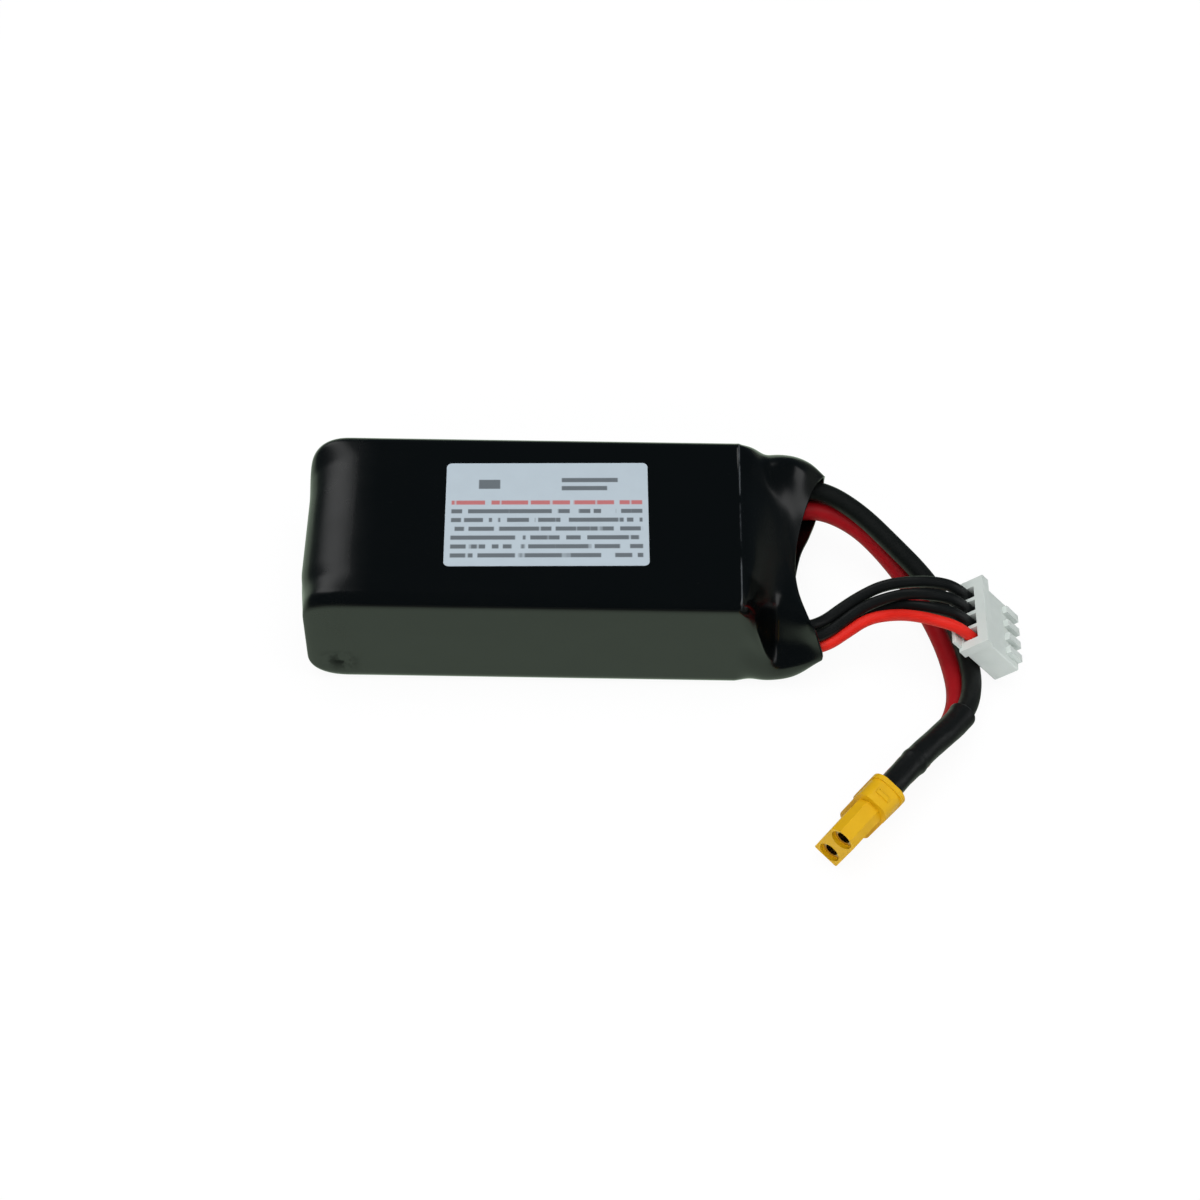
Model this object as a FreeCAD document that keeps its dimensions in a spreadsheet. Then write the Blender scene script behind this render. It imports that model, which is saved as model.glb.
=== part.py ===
import FreeCAD, Part
import math
import os
import Sketcher
from FreeCAD import Placement, Rotation, Vector

# Three-cell lithium polymer pack: a stack of pouch cells in a shrunk film, with two
# main leads to a two-pole power connector and four balance leads to a small plug.
# The pack lies on its wide side, +X points along it to the lead end, +Y to the back
# and +Z up. The origin is at the bottom centre of the wrapped pack. Millimetres.

doc = FreeCAD.newDocument("lipo_battery_pack")
sheet = doc.addObject("Spreadsheet::Sheet", "sizes")

SIZES = [
    # cell stack
    ("cell_start", -35.4, "X of the blind end of the cells"),
    ("cell_length", 56.0, "pouch body without its terrace"),
    ("cell_width", 31.0, "pouch body without its folded seams"),
    ("cell_height", 6.0, "one pouch cell"),
    ("cell_edge_radius", 2.0, "rounding of the pouch edges"),
    ("seam_thickness", 0.5, "folded side seam"),
    ("seam_height", 3.0, "folded side seam"),
    ("seam_inset", 2.0, "from each end of the pouch body"),
    ("terrace_length", 2.8, "sealed flap that the tabs leave through"),
    ("terrace_width", 29.0, "sealed flap"),
    ("terrace_thickness", 0.5, "sealed flap"),
    ("pad_thickness", 0.25, "adhesive pad between two cells"),
    ("pad_length", 48.0, "adhesive pad"),
    ("pad_width", 24.0, "adhesive pad"),
    # tabs and board
    ("tab_width", 6.0, "metal tab"),
    ("tab_thickness", 0.2, "metal tab"),
    ("tab_offset", 8.0, "tab centre from the middle of the cell"),
    ("tab_fold", 2.0, "leg of the tab along the board"),
    ("sealant_width", 8.0, "sealing strip round a tab"),
    ("sealant_thickness", 0.7, "sealing strip round a tab"),
    ("sealant_length", 0.5, "sealing strip along the tab"),
    ("board_gap", 1.2, "between the terraces and the tab board"),
    ("board_thickness", 0.8, "tab board"),
    ("board_width", 29.0, "tab board"),
    ("board_height", 16.0, "tab board"),
    ("card_wall", 0.3, "insulating frame round the tabs"),
    ("card_gap", 0.3, "between the cells and the insulating frame"),
    ("card_overhang", 0.1, "insulating frame past the board"),
    ("joint_length", 0.9, "solder joint of a main lead"),
    ("joint_radius", 2.1, "solder joint of a main lead"),
    ("tap_joint_length", 0.6, "solder joint of a balance lead"),
    ("tap_joint_radius", 1.1, "solder joint of a balance lead"),
    ("tail_card_thickness", 0.4, "insulating card on the blind end"),
    ("tail_card_width", 30.0, "insulating card on the blind end"),
    ("tail_card_height", 14.4, "insulating card on the blind end"),
    ("tail_pad_thickness", 2.2, "foam pad on that card"),
    ("tail_pad_width", 26.0, "foam pad"),
    ("tail_pad_height", 11.0, "foam pad"),
    ("tail_pad_radius", 1.8, "outer edges of the foam pad"),
    ("tail_slack", 0.9, "from the foam pad to the roundest part of the film"),
    # shrunk film
    ("film_wall", 0.3, "shrunk film"),
    ("film_gap", 0.05, "between the film and what it holds"),
    ("film_edge_radius", 2.0, "long edges of the film"),
    ("film_end_depth", 6.0, "length over which the blind end rounds off"),
    ("film_hole_width", 22.0, "opening in the blind end"),
    ("film_hole_height", 10.0, "opening in the blind end"),
    ("film_hole_radius", 3.0, "opening in the blind end"),
    ("neck_length", 13.5, "film past the board, to the tips of its mouth"),
    ("mouth_low", 4.8, "underside of the mouth"),
    ("mouth_high", 12.6, "top of the mouth"),
    ("mouth_narrowing", 0.25, "the mouth is narrower than the pack on each side"),
    ("mouth_radius", 3.2, "round ends of the mouth"),
    ("mouth_waist", 2.5, "how far each face sags in the middle of the mouth"),
    ("mouth_arc_radius", 30.0, "hollow cut of the mouth, seen from above"),
    ("mouth_arc_depth", 5.0, "hollow cut of the mouth"),
    ("mouth_arc_offset", -3.0, "Y of the middle of the hollow cut"),
    # label
    ("label_length", 30.2, "label"),
    ("label_width", 20.0, "label"),
    ("label_thickness", 0.1, "label"),
    ("label_radius", 0.8, "label corners"),
    ("label_along", -3.15, "X of the label centre"),
    ("label_across", 0.6, "Y of the label centre"),
    ("label_turn", 1.35, "degrees off square"),
    # leads
    ("main_lead_diameter", 3.0, "silicone lead, 16 AWG"),
    ("tap_lead_diameter", 1.75, "silicone lead, 22 AWG"),
    ("sleeve_outer", 4.0, "shrink sleeve over a soldered joint"),
    ("sleeve_gap", 0.03, "between the lead and its sleeve"),
    # power connector, along its own axis from the wire end to the nose
    ("contact_pitch", 5.0, "between the two contacts"),
    ("contact_bore", 2.0, "socket for a 2 mm pin"),
    ("contact_bore_depth", 7.0, "socket for a 2 mm pin"),
    ("contact_diameter", 2.9, "socket outside"),
    ("contact_fit", 0.02, "between the socket and the housing"),
    ("contact_recess", 0.6, "socket behind the nose face"),
    ("cup_diameter", 2.6, "solder cup"),
    ("cup_reach", 2.2, "solder cup past the rim"),
    ("cup_bore", 1.8, "solder cup"),
    ("cup_depth", 2.6, "solder cup"),
    ("rim_thickness", 5.7, "rim of the housing"),
    ("rim_height", 10.7, "rim of the housing"),
    ("rim_length", 0.8, "rim of the housing"),
    ("rim_radius", 1.9, "corners of rim and collar"),
    ("collar_thickness", 5.3, "collar of the housing"),
    ("collar_height", 10.4, "collar of the housing"),
    ("collar_length", 3.5, "collar of the housing"),
    ("nose_thickness", 4.15, "keyed nose of the housing"),
    ("nose_height", 8.5, "keyed nose of the housing"),
    ("nose_length", 6.6, "keyed nose of the housing"),
    ("nose_chamfer", 1.1, "keyed corners on the negative side"),
    ("housing_softening", 0.3, "small edge rounding"),
    ("contact_well", 3.3, "well in front of a socket"),
    ("connector_x", 38.8, "centre of the nose face"),
    ("connector_y", -48.4, "centre of the nose face"),
    ("connector_z", 5.5, "centre of the nose face"),
    ("connector_yaw", -128.5, "heading of the nose"),
    ("connector_lean", 19.5, "lean of the upright side"),
    # balance plug, along its own axis from the wire end to the mating end
    ("plug_pitch", 2.5, "between two ways"),
    ("plug_width", 11.0, "housing across the ways"),
    ("plug_thickness", 4.2, "housing without its ribs"),
    ("plug_depth", 9.7, "housing along the ways"),
    ("plug_wall", 0.9, "wide walls of the housing"),
    ("plug_flange_width", 12.3, "flange round the wire end"),
    ("plug_flange_rise", 0.75, "flange above the ribbed wall"),
    ("plug_flange_length", 1.6, "flange"),
    ("plug_lip_length", 1.8, "lip of the plain wall past the wire end"),
    ("plug_lip_thickness", 0.6, "lip of the plain wall"),
    ("way_width", 1.9, "one way of the housing"),
    ("plug_rib_pitch", 2.5, "guide ribs"),
    ("plug_rib_width", 1.25, "guide ribs"),
    ("plug_rib_height", 0.8, "guide ribs"),
    ("plug_rib_length", 3.2, "guide ribs"),
    ("window_width", 1.2, "latch window"),
    ("window_length", 2.0, "latch window"),
    ("window_start", 3.4, "latch window from the wire end"),
    ("plug_softening", 0.25, "small edge rounding"),
    ("plug_x", 59.6, "centre of the wire end"),
    ("plug_y", -10.6, "centre of the wire end"),
    ("plug_z", 11.0, "centre of the wire end"),
    ("plug_dip", 51.2, "degrees that the mating end points down"),
    ("terminal_gap", 0.05, "between a terminal and its way"),
    ("terminal_start", 3.4, "box of the terminal from the wire end"),
    ("terminal_length", 5.4, "box of the terminal"),
    ("terminal_hole", 0.9, "for a square post"),
    ("crimp_diameter", 1.6, "crimp of the terminal"),
    ("lead_entry", 2.2, "depth of a balance lead in the plug"),
]

for row, (name, value, meaning) in enumerate(SIZES, start=1):
    sheet.set("A%d" % row, meaning)
    sheet.set("B%d" % row, str(value))
    sheet.setAlias("B%d" % row, name)

# worked out from the sizes above
FORMULAS = [
    ("cell_end", "cell_start + cell_length"),
    ("stack_width", "cell_width + 2 * seam_thickness"),
    ("stack_height", "3 * cell_height + 2 * pad_thickness"),
    ("stack_low", "film_wall + film_gap"),
    ("film_width", "stack_width + 2 * (film_wall + film_gap)"),
    ("film_height", "stack_height + 2 * (film_wall + film_gap)"),
    ("cell_step", "cell_height + pad_thickness"),
    ("terrace_end", "cell_end + terrace_length"),
    ("board_face", "terrace_end + board_gap + board_thickness"),
    ("middle_height", "film_height / 2"),
    ("film_start", "cell_start - tail_card_thickness - tail_pad_thickness - tail_slack - film_wall"),
    ("neck_start", "board_face + card_overhang"),
    ("film_end", "neck_start + neck_length"),
    ("housing_length", "rim_length + collar_length + nose_length"),
]
for row, (name, formula) in enumerate(FORMULAS, start=len(SIZES) + 1):
    sheet.set("A%d" % row, formula)
    sheet.set("B%d" % row, "=" + formula)
    sheet.setAlias("B%d" % row, name)
doc.recompute()


def size(name):
    return float(sheet.get(name))


def bind(thing, **formulas):
    """Tie properties of an object to formulas over the sheet's aliases."""
    for prop, formula in formulas.items():
        thing.setExpression(prop.replace("__", "."), tied(formula))
    return thing


def tied(formula):
    """Write a formula with every alias pointing at the sheet."""
    names = [row[0] for row in SIZES + FORMULAS]
    out = ""
    word = ""
    for letter in formula + " ":
        if letter.isalnum() or letter in "_.":
            word += letter
            continue
        out += "sizes." + word if word in names else word
        out += letter
        word = ""
    return out.strip()


def place(thing, x="0", y="0", z="0"):
    """Tie the three coordinates of an object's placement to formulas."""
    return bind(thing, Placement__Base__x=x, Placement__Base__y=y, Placement__Base__z=z)


def box(name, length, width, height, x, y, z):
    """A box with bound sides, whose lowest corner is at x, y, z."""
    thing = doc.addObject("Part::Box", name)
    bind(thing, Length=length, Width=width, Height=height)
    return place(thing, x, y, z)


def box_across(name, length, width, height, x, z, y_middle="0"):
    """A box centred on y_middle."""
    return box(name, length, width, height, x, "%s - (%s) / 2" % (y_middle, width), z)


def fuse(name, parts):
    thing = doc.addObject("Part::MultiFuse", name)
    thing.Shapes = parts
    return thing


def cut(name, base, cutter):
    thing = doc.addObject("Part::Cut", name)
    thing.Base = base
    thing.Tool = cutter
    return thing


def edge_numbers(shape, wanted):
    return [i for i, edge in enumerate(shape.Edges, start=1) if wanted(edge)]


def rounded(name, base, radius, wanted):
    """Round the edges of a finished object that the test picks."""
    doc.recompute()
    thing = doc.addObject("Part::Fillet", name)
    thing.Base = base
    thing.Edges = [(i, size(radius), size(radius)) for i in edge_numbers(base.Shape, wanted)]
    return thing


def along(edge, axis):
    """True for a straight edge parallel to the axis."""
    if len(edge.Vertexes) != 2 or edge.Curve.TypeId != "Part::GeomLine":
        return False
    span = edge.Vertexes[1].Point - edge.Vertexes[0].Point
    return abs(span.normalize().dot(axis)) > 0.999


def shaped(name, shape):
    """A feature whose shape is made by code from the sheet's sizes."""
    thing = doc.addObject("Part::Feature", name)
    thing.Shape = shape
    return thing


nodes = []


def node(thing, label):
    """Give a sub-part the name of its file."""
    thing.Label = label
    nodes.append(thing)
    return thing


X_AXIS = Vector(1, 0, 0)
Y_AXIS = Vector(0, 1, 0)
Z_AXIS = Vector(0, 0, 1)
SAME_PLACE = 0.01


# ---- cells ---------------------------------------------------------------------------
def pouch_cell(place_name, level):
    """One pouch cell: soft block, two folded seams and the terrace at its tab end."""
    low = "stack_low + %d * cell_step" % level
    middle = low + " + cell_height / 2"
    block = box_across(place_name + "_block", "cell_length", "cell_width", "cell_height",
                       "cell_start", low)
    soft = rounded(place_name + "_soft", block, "cell_edge_radius",
                   lambda edge: not along(edge, Z_AXIS))
    seams = []
    for side, reach in (("front", "-cell_width / 2 - seam_thickness"), ("back", "cell_width / 2")):
        seams.append(box(place_name + "_seam_" + side, "cell_length - 2 * seam_inset",
                         "seam_thickness", "seam_height", "cell_start + seam_inset", reach,
                         middle + " - seam_height / 2"))
    terrace = box_across(place_name + "_terrace", "terrace_length", "terrace_width",
                         "terrace_thickness", "cell_end", middle + " - terrace_thickness / 2")
    cell = fuse(place_name + "_pouch", [soft, terrace] + seams)
    return node(cell, place_name)


def cell_tab(place_name, level, pole, side):
    """A tab from the terrace to the board, with its end folded along the board."""
    middle = "stack_low + %d * cell_step + cell_height / 2" % level
    y_middle = "%d * tab_offset" % side
    name = place_name + "_" + pole + "_tab"
    foot = box_across(name + "_foot", "board_gap", "tab_width", "tab_thickness", "terrace_end",
                      middle + " - tab_thickness / 2", y_middle)
    leg = box_across(name + "_leg", "tab_thickness", "tab_width", "tab_fold",
                     "terrace_end + board_gap - tab_thickness",
                     middle + " - tab_thickness / 2", y_middle)
    return node(fuse(name + "_bent", [foot, leg]), name)


def tab_sealant(levels):
    """The sealing strips round all tabs, one solid each."""
    strips = []
    for level in levels:
        middle = "stack_low + %d * cell_step + cell_height / 2" % level
        for side in (-1, 1):
            y_middle = "%d * tab_offset" % side
            name = "strip_%d_%s" % (level, "back" if side > 0 else "front")
            strip = box_across(name + "_block", "sealant_length", "sealant_width",
                               "sealant_thickness", "terrace_end",
                               middle + " - sealant_thickness / 2", y_middle)
            slot = box_across(name + "_slot", "sealant_length", "tab_width", "tab_thickness",
                              "terrace_end", middle + " - tab_thickness / 2", y_middle)
            strips.append(cut(name, strip, slot))
    group = doc.addObject("Part::Compound", "strips")
    group.Links = strips
    return node(group, "tab_sealing_strips")


CELLS = [("bottom_cell", 0), ("middle_cell", 1), ("top_cell", 2)]
for cell_name, cell_level in CELLS:
    pouch_cell(cell_name, cell_level)
    flip = 1 if cell_level % 2 == 0 else -1
    cell_tab(cell_name, cell_level, "positive", flip)
    cell_tab(cell_name, cell_level, "negative", -flip)
tab_sealant([cell_level for _, cell_level in CELLS])

for pad_name, pad_level in (("lower_cell_pad", 0), ("upper_cell_pad", 1)):
    pad = box_across(pad_name + "_box", "pad_length", "pad_width", "pad_thickness",
                     "cell_start + (cell_length - pad_length) / 2",
                     "stack_low + %d * cell_step + cell_height" % pad_level)
    node(pad, pad_name)

# ---- tab board, its joints and its insulating frame ------------------------------------
board = box_across("board_box", "board_thickness", "board_width", "board_height",
                   "board_face - board_thickness", "middle_height - board_height / 2")
node(board, "tab_board")

frame_outside = box_across("frame_outside", "board_face + card_overhang - cell_end - card_gap",
                           "stack_width", "stack_height", "cell_end + card_gap", "stack_low")
frame_round = rounded("frame_round", frame_outside, "film_edge_radius",
                      lambda edge: along(edge, X_AXIS))
frame_inside = box_across("frame_inside", "board_face + card_overhang - cell_end - card_gap",
                          "stack_width - 2 * card_wall", "stack_height - 2 * card_wall",
                          "cell_end + card_gap", "stack_low + card_wall")
frame_hollow = rounded("frame_hollow", frame_inside, "cell_edge_radius",
                       lambda edge: along(edge, X_AXIS))
node(cut("frame_cut", frame_round, frame_hollow), "insulating_frame")

tail_card = box_across("tail_card_box", "tail_card_thickness", "tail_card_width",
                       "tail_card_height", "cell_start - tail_card_thickness",
                       "middle_height - tail_card_height / 2")
node(tail_card, "tail_insulating_card")
tail_pad_box = box_across("tail_pad_box", "tail_pad_thickness", "tail_pad_width",
                          "tail_pad_height",
                          "cell_start - tail_card_thickness - tail_pad_thickness",
                          "middle_height - tail_pad_height / 2")
tail_pad = rounded("tail_pad_soft", tail_pad_box, "tail_pad_radius",
                   lambda edge: along(edge, Y_AXIS)
                   and edge.BoundBox.XMax < size("cell_start") - size("tail_card_thickness")
                   - SAME_PLACE)
node(tail_pad, "tail_foam_pad")


# ---- shrunk film -----------------------------------------------------------------------
def film_section(x, half, low, high, radius, waist):
    """A wire across the pack: four corner arcs, two short sides, and a top and a bottom
    that sag towards each other by the waist."""
    lean = math.sqrt(0.5) * radius
    sides = []
    for turn, top in ((1, True), (-1, False)):
        edge = high if top else low
        inner = edge - turn * radius
        across = turn * (half - radius)
        sag = edge - turn * waist
        middle = Vector(x, 0, sag)
        start = Vector(x, across, edge)
        finish = Vector(x, -across, edge)
        if waist > 0:
            span = Part.Arc(start, middle, finish).toShape()
        else:
            span = Part.LineSegment(start, finish).toShape()
        corner_start = Vector(x, -turn * half, inner)
        bulge = Vector(x, -across - turn * lean, inner + turn * lean)
        corner = Part.Arc(finish, bulge, corner_start).toShape()
        other = low + radius if top else high - radius
        flank = Part.LineSegment(corner_start, Vector(x, -turn * half, other)).toShape()
        next_bulge = Vector(x, -across - turn * lean, other - turn * lean)
        next_edge = low if top else high
        next_corner = Part.Arc(Vector(x, -turn * half, other), next_bulge,
                               Vector(x, -across, next_edge)).toShape()
        sides += [span, corner, flank, next_corner]
    return Part.Wire(Part.__sortEdges__(sides))


# How far along the neck each section stands, and how far it has closed towards the mouth.
NECK_STATIONS = [(0.0, 0.0), (0.36, 0.5), (0.68, 0.86), (1.0, 1.0)]
LEAST_WAIST = 0.01


def film_block(start, finish, half, low, high, edge_radius):
    """A slab with a half-oval blind end, its outline rounded on both sides."""
    turn = size("film_start") + size("film_end_depth")
    middle = (low + high) / 2
    oval = Part.Ellipse(Vector(turn, -half, high), Vector(start, -half, middle),
                        Vector(turn, -half, middle))
    corners = [Vector(turn, -half, low), Vector(finish, -half, low),
               Vector(finish, -half, high), Vector(turn, -half, high)]
    edges = [Part.LineSegment(here, there).toShape() for here, there in zip(corners, corners[1:])]
    edges.append(Part.ArcOfEllipse(oval, 0, math.pi).toShape())
    block = Part.Face(Part.Wire(edges)).extrude(Y_AXIS * 2 * half)
    outline = edge_numbers(block, lambda edge: edge.BoundBox.YLength < SAME_PLACE
                           and edge.BoundBox.XMin < finish - SAME_PLACE)
    return block.makeFillet(edge_radius, [block.Edges[i - 1] for i in outline])


def film_body(wall):
    """The space inside the film's outer surface, moved in by a wall."""
    half = size("film_width") / 2 - wall
    low = wall
    high = size("film_height") - wall
    start = size("film_start") + wall
    neck = size("neck_start")
    edge_radius = size("film_edge_radius") - wall
    block = film_block(start, neck, half, low, high, edge_radius)
    mouth_half = half - size("mouth_narrowing")
    mouth_low = size("mouth_low") + wall
    mouth_high = size("mouth_high") - wall
    mouth_radius = size("mouth_radius") - wall
    sections = []
    for step, closing in NECK_STATIONS:
        sections.append(film_section(
            neck + step * size("neck_length"),
            half + closing * (mouth_half - half),
            low + closing * (mouth_low - low),
            high + closing * (mouth_high - high),
            edge_radius + closing * (mouth_radius - edge_radius),
            max(closing * size("mouth_waist"), LEAST_WAIST)))
    neck_solid = Part.makeLoft(sections, True, True)
    return block.fuse(neck_solid)


def film():
    """The shrunk film with its hollow-cut mouth and the opening in its blind end."""
    shell = film_body(0).cut(film_body(size("film_wall")))
    radius = size("mouth_arc_radius")
    bottom = size("film_end") - size("mouth_arc_depth")
    bite = Part.makeCylinder(radius, size("film_height"),
                             Vector(bottom + radius, size("mouth_arc_offset"), 0))
    overrun = 1.0
    hole = Part.makeBox(size("film_wall") + 2 * overrun, size("film_hole_width"),
                        size("film_hole_height"),
                        Vector(size("film_start") - overrun, -size("film_hole_width") / 2,
                               size("middle_height") - size("film_hole_height") / 2))
    corners = edge_numbers(hole, lambda edge: along(edge, X_AXIS))
    hole = hole.makeFillet(size("film_hole_radius"), [hole.Edges[i - 1] for i in corners])
    return shell.cut(bite).cut(hole)


node(shaped("film_shell", film()), "heat_shrink_wrap")

label_box = doc.addObject("Part::Box", "label_box")
bind(label_box, Length="label_length", Width="label_width", Height="label_thickness")
place(label_box, "-label_length / 2", "-label_width / 2", "0")
label_sheet = rounded("label_sheet", label_box, "label_radius", lambda edge: along(edge, Z_AXIS))
label_sheet.Placement = Placement(Vector(0, 0, 0), Rotation(Z_AXIS, size("label_turn")))
place(label_sheet, "label_along", "label_across", "film_height")
node(label_sheet, "information_label")


# ---- sketches for the two connectors ---------------------------------------------------
def plane_of(body, role):
    return next(f for f in body.Origin.OriginFeatures if f.Role == role)


def flat_sketch(body, name, x, y, z):
    """An empty sketch on the body's XY plane, moved to a bound place."""
    sketch = body.newObject("Sketcher::SketchObject", name)
    sketch.AttachmentSupport = [(plane_of(body, "XY_Plane"), "")]
    sketch.MapMode = "FlatFace"
    for axis, reach in (("x", x), ("y", y), ("z", z)):
        sketch.setExpression("AttachmentOffset.Base." + axis, tied(reach))
    return sketch


def rectangle_sketch(body, name, wide, tall, x="0", y="0", z="0"):
    """A rectangle with bound sides round a bound centre."""
    sketch = flat_sketch(body, name, x, y, z)
    corners = [Vector(-1, -1, 0), Vector(1, -1, 0), Vector(1, 1, 0), Vector(-1, 1, 0)]
    for i in range(4):
        sketch.addGeometry(Part.LineSegment(corners[i], corners[(i + 1) % 4]), False)
    for i in range(4):
        sketch.addConstraint(Sketcher.Constraint("Coincident", i, 2, (i + 1) % 4, 1))
    for i, level in enumerate(("Horizontal", "Vertical", "Horizontal", "Vertical")):
        sketch.addConstraint(Sketcher.Constraint(level, i))
    sketch.addConstraint(Sketcher.Constraint("Symmetric", 0, 1, 2, 1, -1, 1))
    across = sketch.addConstraint(Sketcher.Constraint("DistanceX", 0, 1, 0, 2, 2.0))
    upright = sketch.addConstraint(Sketcher.Constraint("DistanceY", 1, 1, 1, 2, 2.0))
    sketch.renameConstraint(across, "wide")
    sketch.renameConstraint(upright, "tall")
    sketch.setExpression("Constraints.wide", tied(wide))
    sketch.setExpression("Constraints.tall", tied(tall))
    return sketch


def circle_sketch(body, name, diameter, x="0", y="0", z="0"):
    """A circle with a bound diameter round a bound centre."""
    sketch = flat_sketch(body, name, x, y, z)
    sketch.addGeometry(Part.Circle(Vector(0, 0, 0), Z_AXIS, 1.0), False)
    sketch.addConstraint(Sketcher.Constraint("Coincident", 0, 3, -1, 1))
    across = sketch.addConstraint(Sketcher.Constraint("Diameter", 0, 2.0))
    sketch.renameConstraint(across, "across")
    sketch.setExpression("Constraints.across", tied(diameter))
    return sketch


def pad_up(body, sketch, length):
    pad = body.newObject("PartDesign::Pad", sketch.Name + "_pad")
    pad.Profile = sketch
    pad.setExpression("Length", tied(length))
    doc.recompute()
    return pad


def pocket_up(body, sketch, length):
    """Cut from the sketch towards +Z, and make sure that it cuts something."""
    before = body.Shape.Volume
    pocket = body.newObject("PartDesign::Pocket", sketch.Name + "_pocket")
    pocket.Profile = sketch
    pocket.Reversed = True
    pocket.setExpression("Length", tied(length))
    doc.recompute()
    if body.Shape.Volume >= before - 1e-6:
        raise RuntimeError(sketch.Name + " cuts nothing")
    return pocket


def dress(body, kind, base, radius, wanted):
    """A PartDesign::Fillet or Chamfer on the edges that the test picks."""
    picked = ["Edge%d" % i for i in edge_numbers(base.Shape, wanted)]
    feature = body.newObject("PartDesign::" + kind, base.Name + "_" + kind)
    feature.Base = (base, picked)
    feature.setExpression("Radius" if kind == "Fillet" else "Size", tied(radius))
    doc.recompute()
    return feature


def new_body(name):
    body = doc.addObject("PartDesign::Body", name)
    doc.recompute()
    return body


# ---- power connector -------------------------------------------------------------------
# Its own frame: Z from the wire end to the nose, +Y to the negative contact.
def connector_placement():
    yaw = Rotation(Z_AXIS, size("connector_yaw"))
    nose = yaw.multVec(X_AXIS)
    side = nose.cross(Z_AXIS)
    lean = math.radians(size("connector_lean"))
    upright = Z_AXIS * math.cos(lean) - side * math.sin(lean)
    turn = Rotation(upright.cross(nose), upright, nose, "ZYX")
    face = Vector(size("connector_x"), size("connector_y"), size("connector_z"))
    return Placement(face - nose * size("housing_length"), turn)


def outline_sketch(body, name, wide, tall, back, front, keyed, z, y="0"):
    """A closed outline of four sides and four corners. The corners at +Y have the size
    back and are cut straight if keyed, and those at -Y have the size front and are round."""
    half_x, half_y = size(wide) / 2, size(tall) / 2
    corner_back, corner_front = size(back), size(front)
    points = [
        (half_x, corner_front - half_y, "{w}", "{t} - {f}"),
        (half_x, half_y - corner_back, "{w}", "{t} - {b}"),
        (half_x - corner_back, half_y, "{w} - {b}", "{t}"),
        (corner_back - half_x, half_y, "{w} - {b}", "{t}"),
        (-half_x, half_y - corner_back, "{w}", "{t} - {b}"),
        (-half_x, corner_front - half_y, "{w}", "{t} - {f}"),
        (corner_front - half_x, -half_y, "{w} - {f}", "{t}"),
        (half_x - corner_front, -half_y, "{w} - {f}", "{t}"),
    ]
    words = {"w": wide + " / 2", "t": tall + " / 2", "b": back, "f": front}
    sketch = flat_sketch(body, name, "0", y, z)
    spots = [Vector(x, y_spot, 0) for x, y_spot, _, _ in points]
    for i in range(0, 8, 2):
        sketch.addGeometry(Part.LineSegment(spots[i], spots[i + 1]), False)
    for i, (x, y_spot, x_reach, y_reach) in enumerate(points):
        bind_point(sketch, i // 2, 1 + i % 2, "X", x, x_reach.format(**words), "across_%d" % i)
        bind_point(sketch, i // 2, 1 + i % 2, "Y", y_spot, y_reach.format(**words),
                   "upright_%d" % i)
    for i in range(1, 8, 2):
        start, finish = spots[i], spots[(i + 1) % 8]
        at_back = i in (1, 3)
        if at_back and keyed:
            edge = Part.LineSegment(start, finish)
        else:
            corner = Vector(start.x if i in (1, 5) else finish.x,
                            finish.y if i in (1, 5) else start.y, 0)
            centre = start + finish - corner
            radius = (start - centre).Length
            bulge = centre + (corner - centre).normalize() * radius
            edge = Part.Arc(start, bulge, finish)
        number = sketch.addGeometry(edge, False)
        sketch.addConstraint(Sketcher.Constraint("Coincident", i // 2, 2, number, 1))
        sketch.addConstraint(Sketcher.Constraint("Coincident", number, 2, (i // 2 + 1) % 4, 1))
        if not (at_back and keyed):
            bend = sketch.addConstraint(Sketcher.Constraint("Radius", number, radius))
            sketch.renameConstraint(bend, "bend_%d" % i)
            sketch.setExpression("Constraints.bend_%d" % i, tied(back if at_back else front))
    return sketch


def bind_point(sketch, line, end, axis, value, reach, label):
    """Hold one end of a line at a bound distance from the sketch's origin."""
    ends = (-1, 1, line, end) if value > 0 else (line, end, -1, 1)
    held = sketch.addConstraint(Sketcher.Constraint("Distance" + axis, *ends, abs(value)))
    sketch.renameConstraint(held, label)
    sketch.setExpression("Constraints." + label, tied(reach))


def connector_housing():
    """Rim, collar and keyed nose, with a way and a well for each contact."""
    body = new_body("connector_body")
    pad_up(body, outline_sketch(body, "rim", "rim_thickness", "rim_height",
                                "rim_radius", "rim_radius", False, "0"), "rim_length")
    pad_up(body, outline_sketch(body, "collar", "collar_thickness", "collar_height",
                                "rim_radius", "rim_radius", False, "rim_length"),
           "collar_length")
    pad_up(body, outline_sketch(body, "nose", "nose_thickness", "nose_height",
                                "nose_chamfer", "housing_softening", True,
                                "rim_length + collar_length"), "nose_length")
    for name, side in (("negative", ""), ("positive", "-")):
        y_middle = side + "contact_pitch / 2"
        well = circle_sketch(body, name + "_well", "contact_well", y=y_middle,
                             z="housing_length - contact_recess")
        pocket_up(body, well, "contact_recess")
        way = circle_sketch(body, name + "_way", "contact_diameter + 2 * contact_fit",
                            y=y_middle)
        pocket_up(body, way, "housing_length")
    return body


housing = connector_housing()
housing.Placement = connector_placement()
node(housing, "connector_housing")


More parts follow.
